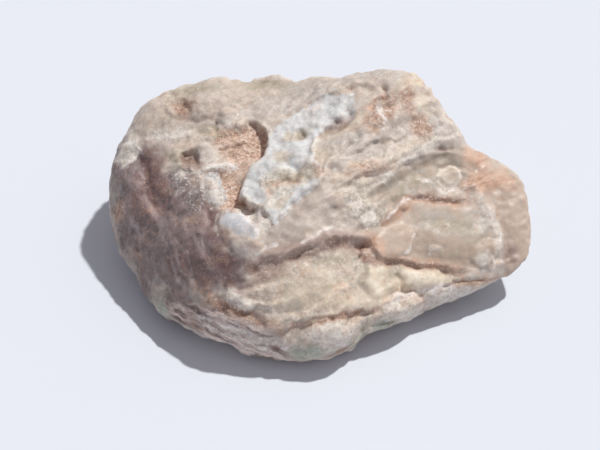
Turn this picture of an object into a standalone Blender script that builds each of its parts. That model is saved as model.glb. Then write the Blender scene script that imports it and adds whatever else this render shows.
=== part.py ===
"""Opalized wood: a rough hand specimen of fossil wood turned to common opal.

The stone is one solid. It starts as a round ball of points, is cut by broad fracture
faces, drawn in to its outline, and then carved: layers, ledges, a crust, hollows, cracks.

Everything is drawn in millimetres at DRAWN_LENGTH and scaled to LENGTH at the end.
Two sheets carry the hand-placed marks: the front sheet faces a viewer who stands at -Y
and looks down at the stone, and the back sheet faces a viewer who stands at +Y.
A point on a sheet is (right, up), measured from the heart of the stone.

Run it with: blender --background --python part.py
"""

import itertools
import math

import bmesh
import bpy
import numpy as np

# ---- driving dimensions -------------------------------------------------------------

LENGTH = 0.040  # metres, along X
TRIANGLES = 9300  # after thinning out, before the resting face is cut

DRAWN_LENGTH = 40.88  # millimetres along X, as everything below is drawn
DRAWN_MIDDLE = np.array((-0.22, 0.80, 0.0))  # millimetres, the middle of the stone's box
NET_SIZE = 0.2  # millimetres between the points that are carved

NAME = "opalized_wood"

# ---- the two sheets -----------------------------------------------------------------

EYE_DISTANCE = 134.0
FRONT_RISE = math.radians(42)
BACK_RISE = math.radians(30)
HEART = np.array((0.0, 0.0, 7.6))  # millimetres, the point that both sheets are held to
BALL_CENTRE = np.array((0.0, 0.4, 6.4))
BALL_SUBDIVISIONS = 6

# ---- broad fracture faces: name, heading and rise of the outward normal, distance -----

FACES = (
    ("top", 206, 74, 4.9),
    ("top right", 305, 53, 4.9),
    ("top left shoulder", 150, 51, 12.1),
    ("front upper", 270, 50, 5.9),
    ("front lower", 262, 5, 12.6),
    ("front below", 265, -35, 13.4),
    ("front left", 248, 22, 12.3),
    ("left flank", 212, 26, 11.5),
    ("left end", 175, 16, 18.9),
    ("left corner", 200, 8, 18.2),
    ("left below", 205, -38, 15.2),
    ("right front", 300, 8, 10.5),
    ("right below", 305, -40, 11.9),
    ("right end", 0, 5, 19.4),
    ("right end below", 5, -38, 15.2),
    ("right back", 40, 35, 15.2),
    ("back", 92, 5, 13.6),
    ("back left", 135, 18, 20.6),
    ("back below", 90, -42, 11.3),
    ("back left below", 145, -35, 16.6),
    ("under left", 190, -75, 9.0),
    ("under right", 350, -76, 8.9),
    ("under front", 265, -74, 9.2),
    ("under back", 100, -72, 9.4),
    ("underside", 0, -90, 8.4),
)
EDGE_SHARPNESS = 18.0

# ---- directions of the fossil wood ----------------------------------------------------

GRAIN_HEADING = 41  # the way the fibres run on the top
LAYER_LEAN = 43  # how far the layers' normal leans from straight up
LAYER = 1.7  # millimetres from one broken layer to the next

# ---- outline on the front sheet -----------------------------------------------------

OUTLINE = (
    (-18.9, 7.1), (-19.6, 4.7), (-19.9, 2.8), (-19.9, 0.3), (-19.5, -1.6), (-18.9, -3.9),
    (-17.5, -5.6), (-16.4, -7.8), (-15.0, -9.5), (-12.6, -10.7), (-10.8, -11.6),
    (-8.2, -12.2), (-7.3, -13.0), (-4.5, -13.7), (-1.9, -13.9), (0.7, -13.4),
    (2.8, -12.8), (4.3, -11.5), (6.6, -10.6), (9.4, -9.4), (12.3, -8.3), (15.1, -7.1),
    (17.3, -6.0), (18.8, -5.2), (19.5, -3.9), (20.1, -1.4), (19.7, 1.4), (19.0, 3.4),
    (17.8, 4.5), (16.1, 5.4), (14.0, 6.4), (13.5, 7.6), (12.3, 9.2), (11.3, 10.4),
    (10.4, 11.9), (9.2, 13.1), (8.2, 13.6), (6.0, 13.7), (3.8, 13.4), (1.7, 13.0),
    (-0.8, 13.0), (-2.2, 12.5), (-4.2, 12.7), (-5.8, 12.4), (-7.8, 12.5), (-9.6, 12.7),
    (-11.3, 12.3), (-13.8, 11.9), (-15.4, 11.3), (-16.6, 10.3), (-17.5, 8.8),
)

# ---- ledges on the front sheet -------------------------------------------------------
# The high side is on the left of each path. After the path: width of the wall, lip above
# it and drop below it, how far the two reach, and how long it takes to start and to end.

LEDGES = (
    ("long ledge", (
        (-8.0, -5.2), (-6.4, -4.3), (-4.2, -3.7), (-1.9, -3.0), (0.0, -2.3), (2.4, -1.9),
        (4.5, -2.0), (5.3, -2.6),
    ), 1.1, 0.3, 0.7, 2.2, 3.0, 4.5, 1.6),
    ("plate edge", (
        (3.4, -2.0), (4.6, -2.2), (5.1, -3.0), (5.8, -4.0), (7.2, -4.1), (8.7, -4.4),
        (11.3, -4.7), (13.4, -5.0), (15.4, -5.2),
    ), 0.55, 0.15, 0.4, 1.6, 2.4, 1.6, 4.0),
    ("chip edge", (
        (6.6, -4.1), (8.1, -3.6), (8.9, -2.6), (9.2, -1.6), (8.6, -0.6),
    ), 0.15, 0.14, 0.1, 1.6, 0.8, 0.8, 0.8),
    ("hollow wall", (
        (-7.2, 9.1), (-6.2, 8.8), (-5.3, 8.0), (-4.9, 7.0), (-5.1, 6.1), (-5.8, 5.4),
        (-6.7, 4.4), (-7.5, 3.1), (-7.6, 1.8), (-7.0, 1.0), (-5.6, 0.6),
    ), 0.2, 0.2, 0.75, 1.0, 2.2, 1.6, 0.8),
    ("fin step", (
        (17.3, -5.4), (17.3, -4.2), (17.1, -2.2), (16.2, 0.3), (15.0, 2.4), (14.0, 4.2),
        (13.2, 5.6),
    ), 0.7, 0.1, 0.55, 1.5, 1.6, 1.0, 2.5),
    ("lower lump", (
        (10.2, -8.3), (8.9, -7.5), (7.2, -7.4), (5.9, -8.3),
    ), 0.15, 0.2, 0.6, 0.9, 1.0, 0.8, 0.8),
    ("foot of the front", (
        (-5.8, -11.2), (-2.6, -10.5), (-0.5, -10.0), (1.9, -9.6), (4.0, -9.1), (5.6, -9.6),
    ), 0.25, 0.1, 0.3, 1.2, 1.6, 1.5, 1.2),
    ("top band", (
        (-3.6, 9.6), (-1.0, 10.8), (2.0, 11.9), (4.8, 12.6), (7.0, 13.2),
    ), 0.4, 0.15, 0.15, 1.2, 1.6, 2.5, 3.0),
    ("rust band", (
        (0.4, 4.4), (2.2, 5.6), (4.6, 6.8), (7.2, 7.4), (10.0, 8.2),
    ), 0.4, 0.2, 0.2, 1.4, 1.4, 1.0, 3.5),
    ("curl band", (
        (1.4, 2.6), (3.8, 3.9), (6.2, 4.4), (9.0, 5.4), (11.6, 6.6),
    ), 0.4, 0.15, 0.25, 1.0, 1.2, 1.5, 3.5),
)

# ---- cracks on the front sheet: path, depth, half width, taper at each end ------------

CRACKS = (
    ("plate crack", (
        (7.6, 1.1), (8.4, 1.5), (9.6, 1.6), (11.3, 1.5), (12.5, 1.2), (13.8, 0.9),
    ), 0.26, 0.24, 1.0),
    ("beside the curl", ((5.9, -1.0), (6.8, -0.2), (8.0, 0.4)), 0.2, 0.16, 0.5),
    ("front crack", (
        (-3.0, -10.5), (-0.5, -9.9), (1.9, -9.5), (4.0, -9.1), (5.6, -9.6),
    ), 0.25, 0.16, 1.0),
    ("under the plate", (
        (11.3, -7.3), (12.3, -6.7), (13.4, -6.2), (15.8, -6.0),
    ), 0.25, 0.18, 0.6),
    ("top crack", ((4.0, 7.4), (2.4, 6.4), (1.5, 5.4), (0.8, 4.6), (0.7, 3.3)), 0.25, 0.16, 0.5),
    ("rust crack", (
        (5.3, 12.3), (6.1, 11.9), (6.3, 11.1), (5.4, 10.6), (4.5, 10.1),
    ), 0.4, 0.2, 0.6),
    ("beside the crust", ((3.2, 10.0), (1.6, 8.6), (0.5, 7.7), (-0.4, 6.8)), 0.5, 0.5, 0.8),
    ("red groove", ((-10.4, -7.6), (-8.1, -8.9), (-6.6, -9.4), (-5.0, -10.7)), 0.15, 0.3, 0.8),
    ("channel", ((3.8, 1.5), (7.4, 3.0), (10.4, 4.7), (13.2, 5.9)), 0.65, 0.95, 1.5),
    ("left corner", ((-9.7, 9.0), (-10.0, 8.3), (-9.7, 7.5)), 0.4, 0.22, 0.5),
    ("flank hollow", ((-16.7, 6.2), (-16.8, 4.1), (-16.1, 1.9), (-15.0, -0.4)), 0.6, 0.8, 1.5),
    ("flank groove", ((-11.0, 1.2), (-10.4, -0.6), (-10.9, -2.8), (-9.9, -5.0)), 0.12, 0.35, 1.2),
    ("crust groove", ((-3.6, 5.4), (-2.2, 4.2), (-2.5, 3.0), (-4.0, 3.2)), 0.35, 0.35, 0.6),
    ("left of the yellow lumps", ((3.8, -3.4), (4.2, -5.0), (4.0, -7.2)), 0.3, 0.3, 0.7),
    ("round the nodule", (
        (13.5, 3.7), (13.1, 4.7), (12.2, 5.0), (11.3, 4.6), (10.9, 3.7), (11.3, 2.8),
        (12.2, 2.5), (13.1, 2.8), (13.5, 3.7),
    ), 0.1, 0.16, 0.1),
    ("between the yellow lumps", ((7.2, -5.4), (7.9, -6.4), (7.8, -7.4)), 0.3, 0.18, 0.4),
)

# ---- hollows on the front sheet: outline, depth, width of the wall --------------------

HOLLOWS = (
    ("rust hollow", (
        (-10.4, 6.9), (-9.2, 7.7), (-8.0, 8.0), (-6.6, 8.7), (-5.2, 7.6), (-5.1, 6.3),
        (-6.1, 5.4), (-8.0, 5.2), (-9.6, 5.5),
    ), 0.4, 1.0),
    ("lower rust hollow", (
        (-10.2, 3.6), (-8.3, 4.2), (-7.4, 3.3), (-7.5, 2.0), (-7.0, 0.8), (-8.6, 0.8),
        (-9.2, 1.7),
    ), 0.25, 0.8),
    ("knob hollow", (
        (-13.1, 5.8), (-12.3, 6.1), (-11.6, 5.6), (-11.7, 4.9), (-12.4, 4.6), (-13.0, 5.0),
    ), 0.8, 0.5),
    ("small hollow", ((-13.1, 4.3), (-12.3, 4.5), (-12.0, 3.9), (-12.8, 3.7)), 0.25, 0.3),
    ("far hollow", (
        (-13.7, 10.1), (-12.9, 10.7), (-12.0, 10.3), (-12.2, 9.4), (-13.2, 9.2),
    ), 0.5, 0.9),
    ("dark hollow", ((-6.9, -4.7), (-6.1, -4.5), (-5.8, -5.2), (-6.5, -5.6)), 0.12, 0.6),
    ("crust hollow", ((-2.4, 7.8), (-1.7, 8.1), (-1.4, 7.4), (-2.1, 7.0)), 0.4, 0.3),
)

# ---- lumps on the front sheet ---------------------------------------------------------
# Middle, half length, half width, turn, height, and roundness: small for a button with
# steep sides, 1 for a dome.

LUMPS = (
    ("nodule", (12.2, 3.7), 1.05, 0.95, 20, 0.22, 0.4),
    ("glossy nose", (-7.6, -1.7), 3.0, 1.9, -50, 0.6, 1.2),
    ("grey lump", (-12.7, 2.4), 2.5, 1.5, 75, 0.6, 0.8),
    ("white lump", (-10.0, 2.4), 1.6, 0.9, 100, 0.5, 0.7),
    ("white lip", (-9.9, 4.5), 1.6, 0.45, 12, 0.4, 0.8),
    ("lip of the hollow", (-8.2, 9.0), 1.4, 1.0, -10, 0.45, 0.7),
    ("knob beside the hollow", (-13.4, 5.6), 0.8, 0.7, 0, 0.3, 0.7),
    ("far lump", (-10.5, 11.0), 4.6, 2.0, 8, 0.9, 0.9),
    ("far left lump", (-15.6, 9.4), 2.4, 1.8, 30, 0.6, 0.9),
    ("sparkle", (-8.1, -7.6), 1.2, 0.8, -10, 0.35, 0.6),
    ("sparkle below", (-6.9, -8.4), 0.9, 0.6, 10, 0.3, 0.6),
    ("lower right lump", (7.9, -9.0), 2.3, 1.2, 15, 0.5, 0.8),
    ("foot lump", (1.0, -11.4), 3.2, 1.6, 10, 0.5, 0.8),
    ("curl", (2.2, 1.6), 1.4, 0.8, 40, 0.35, 0.6),
    ("second curl", (3.6, 0.6), 1.3, 0.7, 30, 0.35, 0.6),
    ("third curl", (4.6, -0.6), 1.1, 0.6, 20, 0.3, 0.6),
    ("curled strip", (7.3, 0.4), 1.9, 0.5, 42, 0.4, 0.6),
    ("chip", (7.0, -2.4), 2.0, 1.4, 30, 0.12, 0.5),
    ("plate swelling", (11.6, -2.4), 3.6, 1.8, -8, 0.3, 0.9),
    ("plate fleck", (10.7, -3.3), 0.5, 0.3, 10, 0.15, 0.5),
    ("plate corner", (15.6, -3.6), 1.5, 1.1, 40, 0.35, 0.6),
    ("yellow lump", (5.4, -6.0), 1.9, 1.3, 80, 0.4, 0.8),
    ("second yellow lump", (9.8, -6.0), 2.1, 1.1, 12, 0.4, 0.8),
    ("beige band", (6.2, 5.5), 5.2, 0.9, 27, 0.35, 0.8),
    ("upper band", (7.0, 9.4), 4.6, 1.1, 20, 0.35, 0.8),
    ("peak", (7.6, 12.6), 2.6, 1.4, -25, 0.1, 0.9),
    ("front swelling", (-2.6, -6.6), 4.2, 2.6, 15, 0.5, 0.9),
)

# ---- the crust: a raised, knobbly sheet ------------------------------------------------

CRUST = (
    (2.9, 11.4), (2.1, 9.2), (0.9, 8.2), (-0.2, 7.1), (-0.6, 5.7), (0.1, 3.6), (-1.9, 1.7),
    (-3.3, 0.3), (-4.3, -0.7), (-5.6, 0.7), (-7.0, 1.0), (-7.6, 1.9), (-7.3, 3.1),
    (-6.6, 4.4), (-5.5, 5.4), (-4.9, 6.4), (-5.0, 7.6), (-3.6, 8.8), (-1.9, 9.7), (0.5, 10.7),
)
CRUST_HEIGHT = 0.4
CRUST_EDGE = 0.4

# ---- the splinters along the left foot: outline and the way they run --------------------

SPLINTERS = (
    (-15.4, -8.2), (-8.4, -9.0), (-4.0, -11.8), (-1.4, -14.6), (-9.0, -14.0), (-15.6, -11.2),
)
SPLINTER_TURN = -24
SPLINTER_HEIGHT = 0.22

# ---- marks on the back sheet, written as on the front sheet -----------------------------

BACK_LEDGES = (
    ("long step", (
        (-13.0, -6.6), (-9.6, -5.6), (-6.2, -5.8), (-3.0, -4.8), (0.6, -4.2), (4.4, -4.6),
        (8.2, -3.6),
    ), 0.2, 0.35, 0.95, 1.8, 3.2, 2.0, 3.0),
    ("low step", (
        (-4.0, -10.4), (-0.8, -9.6), (3.0, -9.9), (7.4, -9.0), (11.6, -8.9),
    ), 0.6, 0.3, 0.8, 1.4, 2.4, 2.0, 2.0),
    ("corner step", (
        (9.6, -2.2), (11.6, -3.4), (12.6, -5.6), (12.2, -7.6),
    ), 0.3, 0.3, 0.7, 1.4, 2.6, 1.2, 1.2),
    ("end chip", (
        (-15.8, -9.2), (-13.4, -8.4), (-12.4, -6.2), (-12.9, -4.0),
    ), 0.3, 0.2, 0.7, 1.2, 2.4, 1.2, 1.2),
)
BACK_CRACKS = (
    ("long crack", ((-8.8, -2.4), (-6.0, -1.7), (-3.4, -2.1), (-0.6, -1.2)), 0.3, 0.22, 1.2),
    ("short crack", ((3.4, -7.0), (5.2, -6.2), (7.6, -6.5)), 0.5, 0.2, 0.8),
    ("slanting crack", ((-6.4, -9.2), (-5.2, -7.6), (-4.9, -6.2)), 0.5, 0.25, 0.6),
)
BACK_HOLLOWS = (
    ("back hollow", (
        (-2.2, -7.6), (-0.8, -6.6), (1.0, -6.9), (1.4, -8.2), (-0.4, -8.8), (-1.9, -8.5),
    ), 0.8, 0.9),
    ("side hollow", ((9.0, -5.2), (10.2, -4.6), (10.9, -5.6), (9.8, -6.5)), 0.6, 0.6),
    ("small back hollow", ((-10.8, -8.6), (-9.9, -8.2), (-9.4, -9.0), (-10.4, -9.4)), 0.5, 0.5),
)
BACK_LUMPS = (
    ("shoulder", (5.6, -1.8), 3.4, 1.7, 12, 0.6, 0.8),
    ("belly", (-6.6, -7.8), 3.0, 1.8, 5, 0.5, 0.8),
    ("toe", (4.2, -11.6), 3.6, 1.4, 4, 0.5, 0.8),
    ("knob", (11.2, -10.0), 1.9, 1.3, 30, 0.45, 0.8),
    ("end knob", (-14.6, -5.8), 1.6, 1.1, 60, 0.4, 0.8),
)

# ---- the two smooth places on the front sheet --------------------------------------------

PLATE = (
    (4.7, -2.2), (5.7, -0.7), (6.8, 0.5), (9.0, 1.3), (11.3, 1.3), (13.8, 0.9), (16.0, -0.8),
    (16.6, -2.8), (16.4, -4.8), (13.4, -4.9), (8.7, -4.3), (5.8, -3.9), (5.1, -3.0),
)
FIN = (
    (13.8, 6.5), (14.9, 6.0), (16.2, 5.3), (17.6, 4.5), (19.1, 3.4), (19.8, 1.4), (20.6, -1.2),
    (20.4, -2.9), (19.8, -4.8), (18.5, -6.2), (17.3, -6.3), (17.6, -4.4), (17.4, -2.4),
    (16.6, 0.1), (15.6, 1.8), (14.3, 3.1), (13.5, 4.4),
)


# ---- small tools --------------------------------------------------------------------


def unit(heading, rise):
    """The direction with this heading, counted from +X towards +Y, and this rise."""
    heading, rise = math.radians(heading), math.radians(rise)
    return np.array(
        (math.cos(heading) * math.cos(rise), math.sin(heading) * math.cos(rise), math.sin(rise))
    )


def turning(axis, degrees):
    """The matrix that turns a row of points about this axis."""
    x, y, z = axis / np.linalg.norm(axis)
    cross = np.array(((0.0, z, -y), (-z, 0.0, x), (y, -x, 0.0)))
    angle = math.radians(degrees)
    return np.eye(3) + math.sin(angle) * cross + (1.0 - math.cos(angle)) * cross @ cross


TURN = turning(np.array((1.0, 2.0, 3.0)), 57)


def step(value, low, high):
    """Goes smoothly from 0 where value is low to 1 where it is high."""
    share = np.clip((value - low) / (high - low), 0.0, 1.0)
    return share * share * (3.0 - 2.0 * share)


def noise(points, seed):
    """Smooth noise between about -1 and 1, with a lump or a hollow every unit or so."""
    rng = np.random.default_rng(seed)
    order = rng.permutation(256)
    slopes = rng.normal(size=(256, points.shape[1]))
    slopes /= np.linalg.norm(slopes, axis=1)[:, None]
    cell = np.floor(points).astype(int)
    inside = points - cell
    ease = inside**3 * (inside * (inside * 6.0 - 15.0) + 10.0)
    total = np.zeros(len(points))
    for corner in itertools.product((0, 1), repeat=points.shape[1]):
        corner = np.array(corner)
        pick = np.zeros(len(points), int)
        for axis in range(points.shape[1]):
            pick = order[(pick + cell[:, axis] + corner[axis]) & 255]
        share = np.prod(np.where(corner == 1, ease, 1.0 - ease), axis=1)
        total += share * np.einsum("ij,ij->i", slopes[pick], inside - corner)
    return total * 1.6


def layered_noise(points, size, octaves, seed):
    """Noise whose largest lumps are size across, with finer and fainter ones on them."""
    total = np.zeros(len(points))
    for octave in range(octaves):
        points = points @ TURN
        total += noise(points * (2.0**octave / size), seed + octave) * 0.5**octave
    return total


def ridges(points, size, octaves, seed):
    """Noise with sharp crests: 1 along a crest, and 0 well away from it."""
    total = np.zeros(len(points))
    for octave in range(octaves):
        points = points @ TURN
        crest = 1.0 - np.abs(noise(points * (2.0**octave / size), seed + octave))
        total += crest * crest * 0.5**octave
    return total / 1.5


def along(flat, path):
    """Distance to a broken line, positive on its left, and how far along it, in mm."""
    best = np.full(len(flat), 1e9)
    side = np.zeros(len(flat))
    place = np.zeros(len(flat))
    walked = 0.0
    for start, end in zip(path[:-1], path[1:]):
        start, end = np.array(start), np.array(end)
        length = math.hypot(*(end - start))
        way = (end - start) / length
        rel = flat - start
        here = np.clip(rel @ way, 0.0, length)
        gap = np.linalg.norm(rel - here[:, None] * way, axis=1)
        nearer = gap < best
        best = np.where(nearer, gap, best)
        side = np.where(nearer, np.sign(way[0] * rel[:, 1] - way[1] * rel[:, 0]), side)
        place = np.where(nearer, walked + here, place)
        walked += length
    return best * side, place, walked


def inside_of(flat, outline):
    """Distance from a closed outline, positive inside it."""
    gap = np.full(len(flat), 1e9)
    crossings = np.zeros(len(flat), int)
    for start, end in zip(outline, outline[1:] + outline[:1]):
        start, end = np.array(start), np.array(end)
        edge = end - start
        rel = flat - start
        here = np.clip(rel @ edge / (edge @ edge), 0.0, 1.0)
        gap = np.minimum(gap, np.linalg.norm(rel - here[:, None] * edge, axis=1))
        between = (flat[:, 1] < start[1]) != (flat[:, 1] < end[1])
        rise = edge[1] if edge[1] else 1e-9
        crossings += between & (rel[:, 0] < rel[:, 1] * edge[0] / rise)
    return np.where(crossings % 2 == 1, gap, -gap)


class Sheet:
    """A drawing held up between a viewer and the stone, seen in perspective."""

    def __init__(self, side, rise):
        self.right = np.array((side, 0.0, 0.0))
        self.up = np.array((0.0, side * math.sin(rise), math.cos(rise)))
        self.toward = np.array((0.0, -side * math.cos(rise), math.sin(rise)))

    def drawn(self, points):
        """(right, up) of the points on the sheet, and how far each lies in front of it."""
        rel = points - HEART
        near = rel @ self.toward
        flat = np.stack((rel @ self.right, rel @ self.up), axis=1)
        return flat * (EYE_DISTANCE / (EYE_DISTANCE - near))[:, None], near

    def placed(self, flat, near):
        """The points that are drawn at flat and lie that far in front of the sheet."""
        flat = flat * ((EYE_DISTANCE - near) / EYE_DISTANCE)[:, None]
        return (
            HEART
            + flat[:, :1] * self.right
            + flat[:, 1:] * self.up
            + near[:, None] * self.toward
        )


FRONT = Sheet(1.0, FRONT_RISE)
BACK = Sheet(-1.0, BACK_RISE)
ALONG_GRAIN = unit(GRAIN_HEADING, 0)
LAYERS = unit(GRAIN_HEADING + 90, 90 - LAYER_LEAN)
ACROSS_GRAIN = np.cross(LAYERS, ALONG_GRAIN)
FLANK = unit(225, 0)


# ---- the block and its outline --------------------------------------------------------


def rough_block(directions):
    """Points on the block that the fracture faces leave, with slightly rounded edges."""
    pull = np.zeros(len(directions))
    for _, heading, rise, distance in FACES:
        normal = unit(heading, rise)
        facing = np.clip(directions @ normal, 0.0, None)
        reach = distance + (HEART - BALL_CENTRE) @ normal
        pull += (facing / reach) ** EDGE_SHARPNESS
    return BALL_CENTRE + directions * (pull ** (-1.0 / EDGE_SHARPNESS))[:, None]


def reach_of_outline(angles):
    """Distance from the heart to OUTLINE along each angle."""
    ways = np.stack((np.cos(angles), np.sin(angles)), axis=1)
    reach = np.full(len(angles), 1e9)
    for start, end in zip(OUTLINE, OUTLINE[1:] + OUTLINE[:1]):
        start, end = np.array(start), np.array(end)
        edge = end - start
        cross = ways[:, 0] * edge[1] - ways[:, 1] * edge[0]
        cross = np.where(np.abs(cross) < 1e-9, 1e-9, cross)
        distance = (start[0] * edge[1] - start[1] * edge[0]) / cross
        share = (start[0] * ways[:, 1] - start[1] * ways[:, 0]) / cross
        hit = (share >= 0.0) & (share <= 1.0) & (distance > 0.0)
        reach = np.where(hit & (distance < reach), distance, reach)
    return reach


def blurred(ring, width):
    """A closed row of numbers, smoothed over that many of its neighbours each way."""
    total = np.zeros(len(ring))
    for shift in range(-width, width + 1):
        total += np.roll(ring, shift)
    return total / (2 * width + 1)


def fit_outline(points):
    """Draws the stone in or out, most near its rim, so that its outline is OUTLINE."""
    count = 240
    flat, near = FRONT.drawn(points)
    angle = np.arctan2(flat[:, 1], flat[:, 0])
    reach = np.hypot(flat[:, 0], flat[:, 1])
    slot = ((angle / (2 * math.pi) + 0.5) * count).astype(int) % count
    furthest = np.zeros(count)
    np.maximum.at(furthest, slot, reach)
    furthest = blurred(furthest, 2)
    angles = (np.arange(count) + 0.5) / count * 2 * math.pi - math.pi
    ratio = reach_of_outline(angles) / furthest
    broad = blurred(blurred(ratio, 9), 9)
    share = np.clip(reach / np.interp(angle, angles, furthest, period=2 * math.pi), 0.0, 1.0)
    scale = 1.0 + (np.interp(angle, angles, broad, period=2 * math.pi) - 1.0) * share**2
    rest = blurred(ratio, 1) - broad
    scale += np.interp(angle, angles, rest, period=2 * math.pi) * share**8
    return FRONT.placed(flat * scale[:, None], near)


# ---- carving -----------------------------------------------------------------------------


def normals_of(points, triangles):
    """The outward direction at each point."""
    corners = points[triangles]
    face = np.cross(corners[:, 1] - corners[:, 0], corners[:, 2] - corners[:, 0])
    total = np.zeros_like(points)
    for corner in range(3):
        for axis in range(3):
            total[:, axis] += np.bincount(triangles[:, corner], face[:, axis], len(points))
    return total / np.linalg.norm(total, axis=1)[:, None]


def ledge_height(flat, path, wall, lip, drop, reach_above, reach_below, start, end):
    """Height of the surface beside a ledge, which dies away on both sides of it."""
    gap, place, walked = along(flat, path)
    above = lip * np.exp(-np.clip(gap, 0.0, None) / reach_above)
    below = -drop * np.exp(np.clip(gap, None, 0.0) / reach_below)
    height = below + (above - below) * step(gap, -wall, 0.1)
    return height * step(place, 0.0, start) * step(walked - place, 0.0, end)


def crack_height(flat, path, depth, width, taper):
    """Depth of a groove that narrows to nothing at both ends."""
    gap, place, walked = along(flat, path)
    ends = step(place, 0.0, taper) * step(walked - place, 0.0, taper)
    return -depth * np.exp(-((gap / width) ** 2)) * ends


def lump_height(flat, middle, length, width, turn, height, roundness):
    """Height of an oval lump."""
    turn = math.radians(turn)
    rel = flat - np.array(middle)
    lengthwise = (rel[:, 0] * math.cos(turn) + rel[:, 1] * math.sin(turn)) / length
    across = (rel[:, 1] * math.cos(turn) - rel[:, 0] * math.sin(turn)) / width
    return height * np.clip(1.0 - lengthwise**2 - across**2, 0.0, None) ** roundness


def sheet_marks(flat, ledges, cracks, hollows, lumps):
    """Height of all the marks that are drawn on one sheet."""
    height = np.zeros(len(flat))
    for _, path, wall, lip, drop, above, below, start, end in ledges:
        height += ledge_height(flat, path, wall, lip, drop, above, below, start, end)
    for _, path, depth, width, taper in cracks:
        height += crack_height(flat, path, depth, width, taper)
    for _, outline, depth, wall in hollows:
        height -= depth * step(inside_of(flat, outline), -0.5 * wall, 0.5 * wall)
    for _, middle, length, width, turn, rise, roundness in lumps:
        height += lump_height(flat, middle, length, width, turn, rise, roundness)
    return height


def crust_marks(points, flat):
    """Height of the crust and of the knobs and little hollows on it."""
    crust = step(inside_of(flat, CRUST), -0.5 * CRUST_EDGE, 0.5 * CRUST_EDGE)
    knobs = layered_noise(points, 1.3, 2, 300)
    return crust * (CRUST_HEIGHT + 0.22 * knobs)


def splinter_marks(flat):
    """Height of the long thin splinters along the left foot."""
    turn = math.radians(SPLINTER_TURN)
    lengthwise = flat[:, 0] * math.cos(turn) + flat[:, 1] * math.sin(turn)
    across = flat[:, 1] * math.cos(turn) - flat[:, 0] * math.sin(turn)
    stretched = np.stack((lengthwise / 5.0, across, np.zeros(len(flat))), axis=1)
    inside = step(inside_of(flat, SPLINTERS), 0.0, 1.2)
    return SPLINTER_HEIGHT * inside * (ridges(stretched, 0.9, 2, 500) - 0.7)


def in_grain(points, stretch):
    """The points in the wood's own directions, squeezed along the grain."""
    lengthwise = points @ ALONG_GRAIN / stretch
    return np.stack((lengthwise, points @ ACROSS_GRAIN, points @ LAYERS), axis=1)


def wood_marks(points, normals):
    """Height of the broken layers and the fibres, which run through the whole stone."""
    warp = layered_noise(points, 7.0, 3, 40)
    level = points @ LAYERS / LAYER + 1.1 * warp
    share = level - np.floor(level)
    terrace = share - step(share, 0.75, 1.0)
    broken = step(layered_noise(points, 5.0, 2, 50), -0.25, 0.5)
    fibres = ridges(in_grain(points + warp[:, None] * 0.5, 4.0), 1.3, 2, 60) - 0.7
    flank = step(normals @ FLANK, 0.35, 0.75)
    return (0.42 * (terrace - 0.3) * broken + 0.12 * fibres) * (1.0 - 0.75 * flank)


def lumpy_marks(points):
    """Height of the lumps and hollows that weather has left everywhere."""
    knobs = ridges(points, 3.2, 2, 130) - 0.7
    grains = layered_noise(points, 1.5, 2, 120)
    pits = step(layered_noise(points, 1.1, 1, 140), 0.35, 0.75)
    pits *= step(layered_noise(points, 4.0, 1, 150), 0.1, 0.5)
    return 0.15 * knobs + 0.12 * grains - 0.12 * pits


def wander(points):
    """How far each point strays on a sheet, in mm, which makes the edges of marks ragged."""
    return np.stack((layered_noise(points, 1.6, 3, 80), layered_noise(points, 1.6, 3, 90)), axis=1)


def carve(points, triangles):
    """Moves the points out or in by the marks that are drawn at them."""
    normals = normals_of(points, triangles)
    flat = FRONT.drawn(points)[0] + 0.25 * wander(points)
    seen = step(normals @ FRONT.toward, 0.0, 0.35)
    smooth = step(inside_of(flat, PLATE), -0.2, 0.6) + 0.7 * step(inside_of(flat, FIN), 0.0, 0.8)
    marks = sheet_marks(flat, LEDGES, CRACKS, HOLLOWS, LUMPS)
    marks += crust_marks(points, flat) + splinter_marks(flat)
    height = marks * seen
    flat = BACK.drawn(points)[0] + 0.35 * wander(points)
    hidden = step(normals @ BACK.toward, 0.1, 0.5) * (1.0 - seen)
    height += sheet_marks(flat, BACK_LEDGES, BACK_CRACKS, BACK_HOLLOWS, BACK_LUMPS) * hidden
    height += (wood_marks(points, normals) + lumpy_marks(points)) * (1.0 - 0.85 * smooth * seen)
    way = normals + FRONT.toward * seen[:, None] + BACK.toward * hidden[:, None]
    way /= np.linalg.norm(way, axis=1)[:, None]
    return points + way * height[:, None]


# ---- making the solid ----------------------------------------------------------------------


def vectors_of(mesh):
    """The places of a mesh's vertices."""
    places = np.empty(len(mesh.vertices) * 3, np.float32)
    mesh.vertices.foreach_get("co", places)
    return places.reshape(-1, 3).astype(float)


def triangles_of(mesh):
    """The corners of each of a mesh's triangles, as vertex numbers."""
    mesh.calc_loop_triangles()
    corners = np.empty(len(mesh.loop_triangles) * 3, np.int32)
    mesh.loop_triangles.foreach_get("vertices", corners)
    return corners.reshape(-1, 3)


def set_places(mesh, points):
    """Moves a mesh's vertices to these places."""
    mesh.vertices.foreach_set("co", points.astype(np.float32).ravel())
    mesh.update()


def evaluated_copy(thing):
    """A new mesh of the object as its modifiers leave it."""
    seen = thing.evaluated_get(bpy.context.evaluated_depsgraph_get())
    return bpy.data.meshes.new_from_object(seen)


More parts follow.
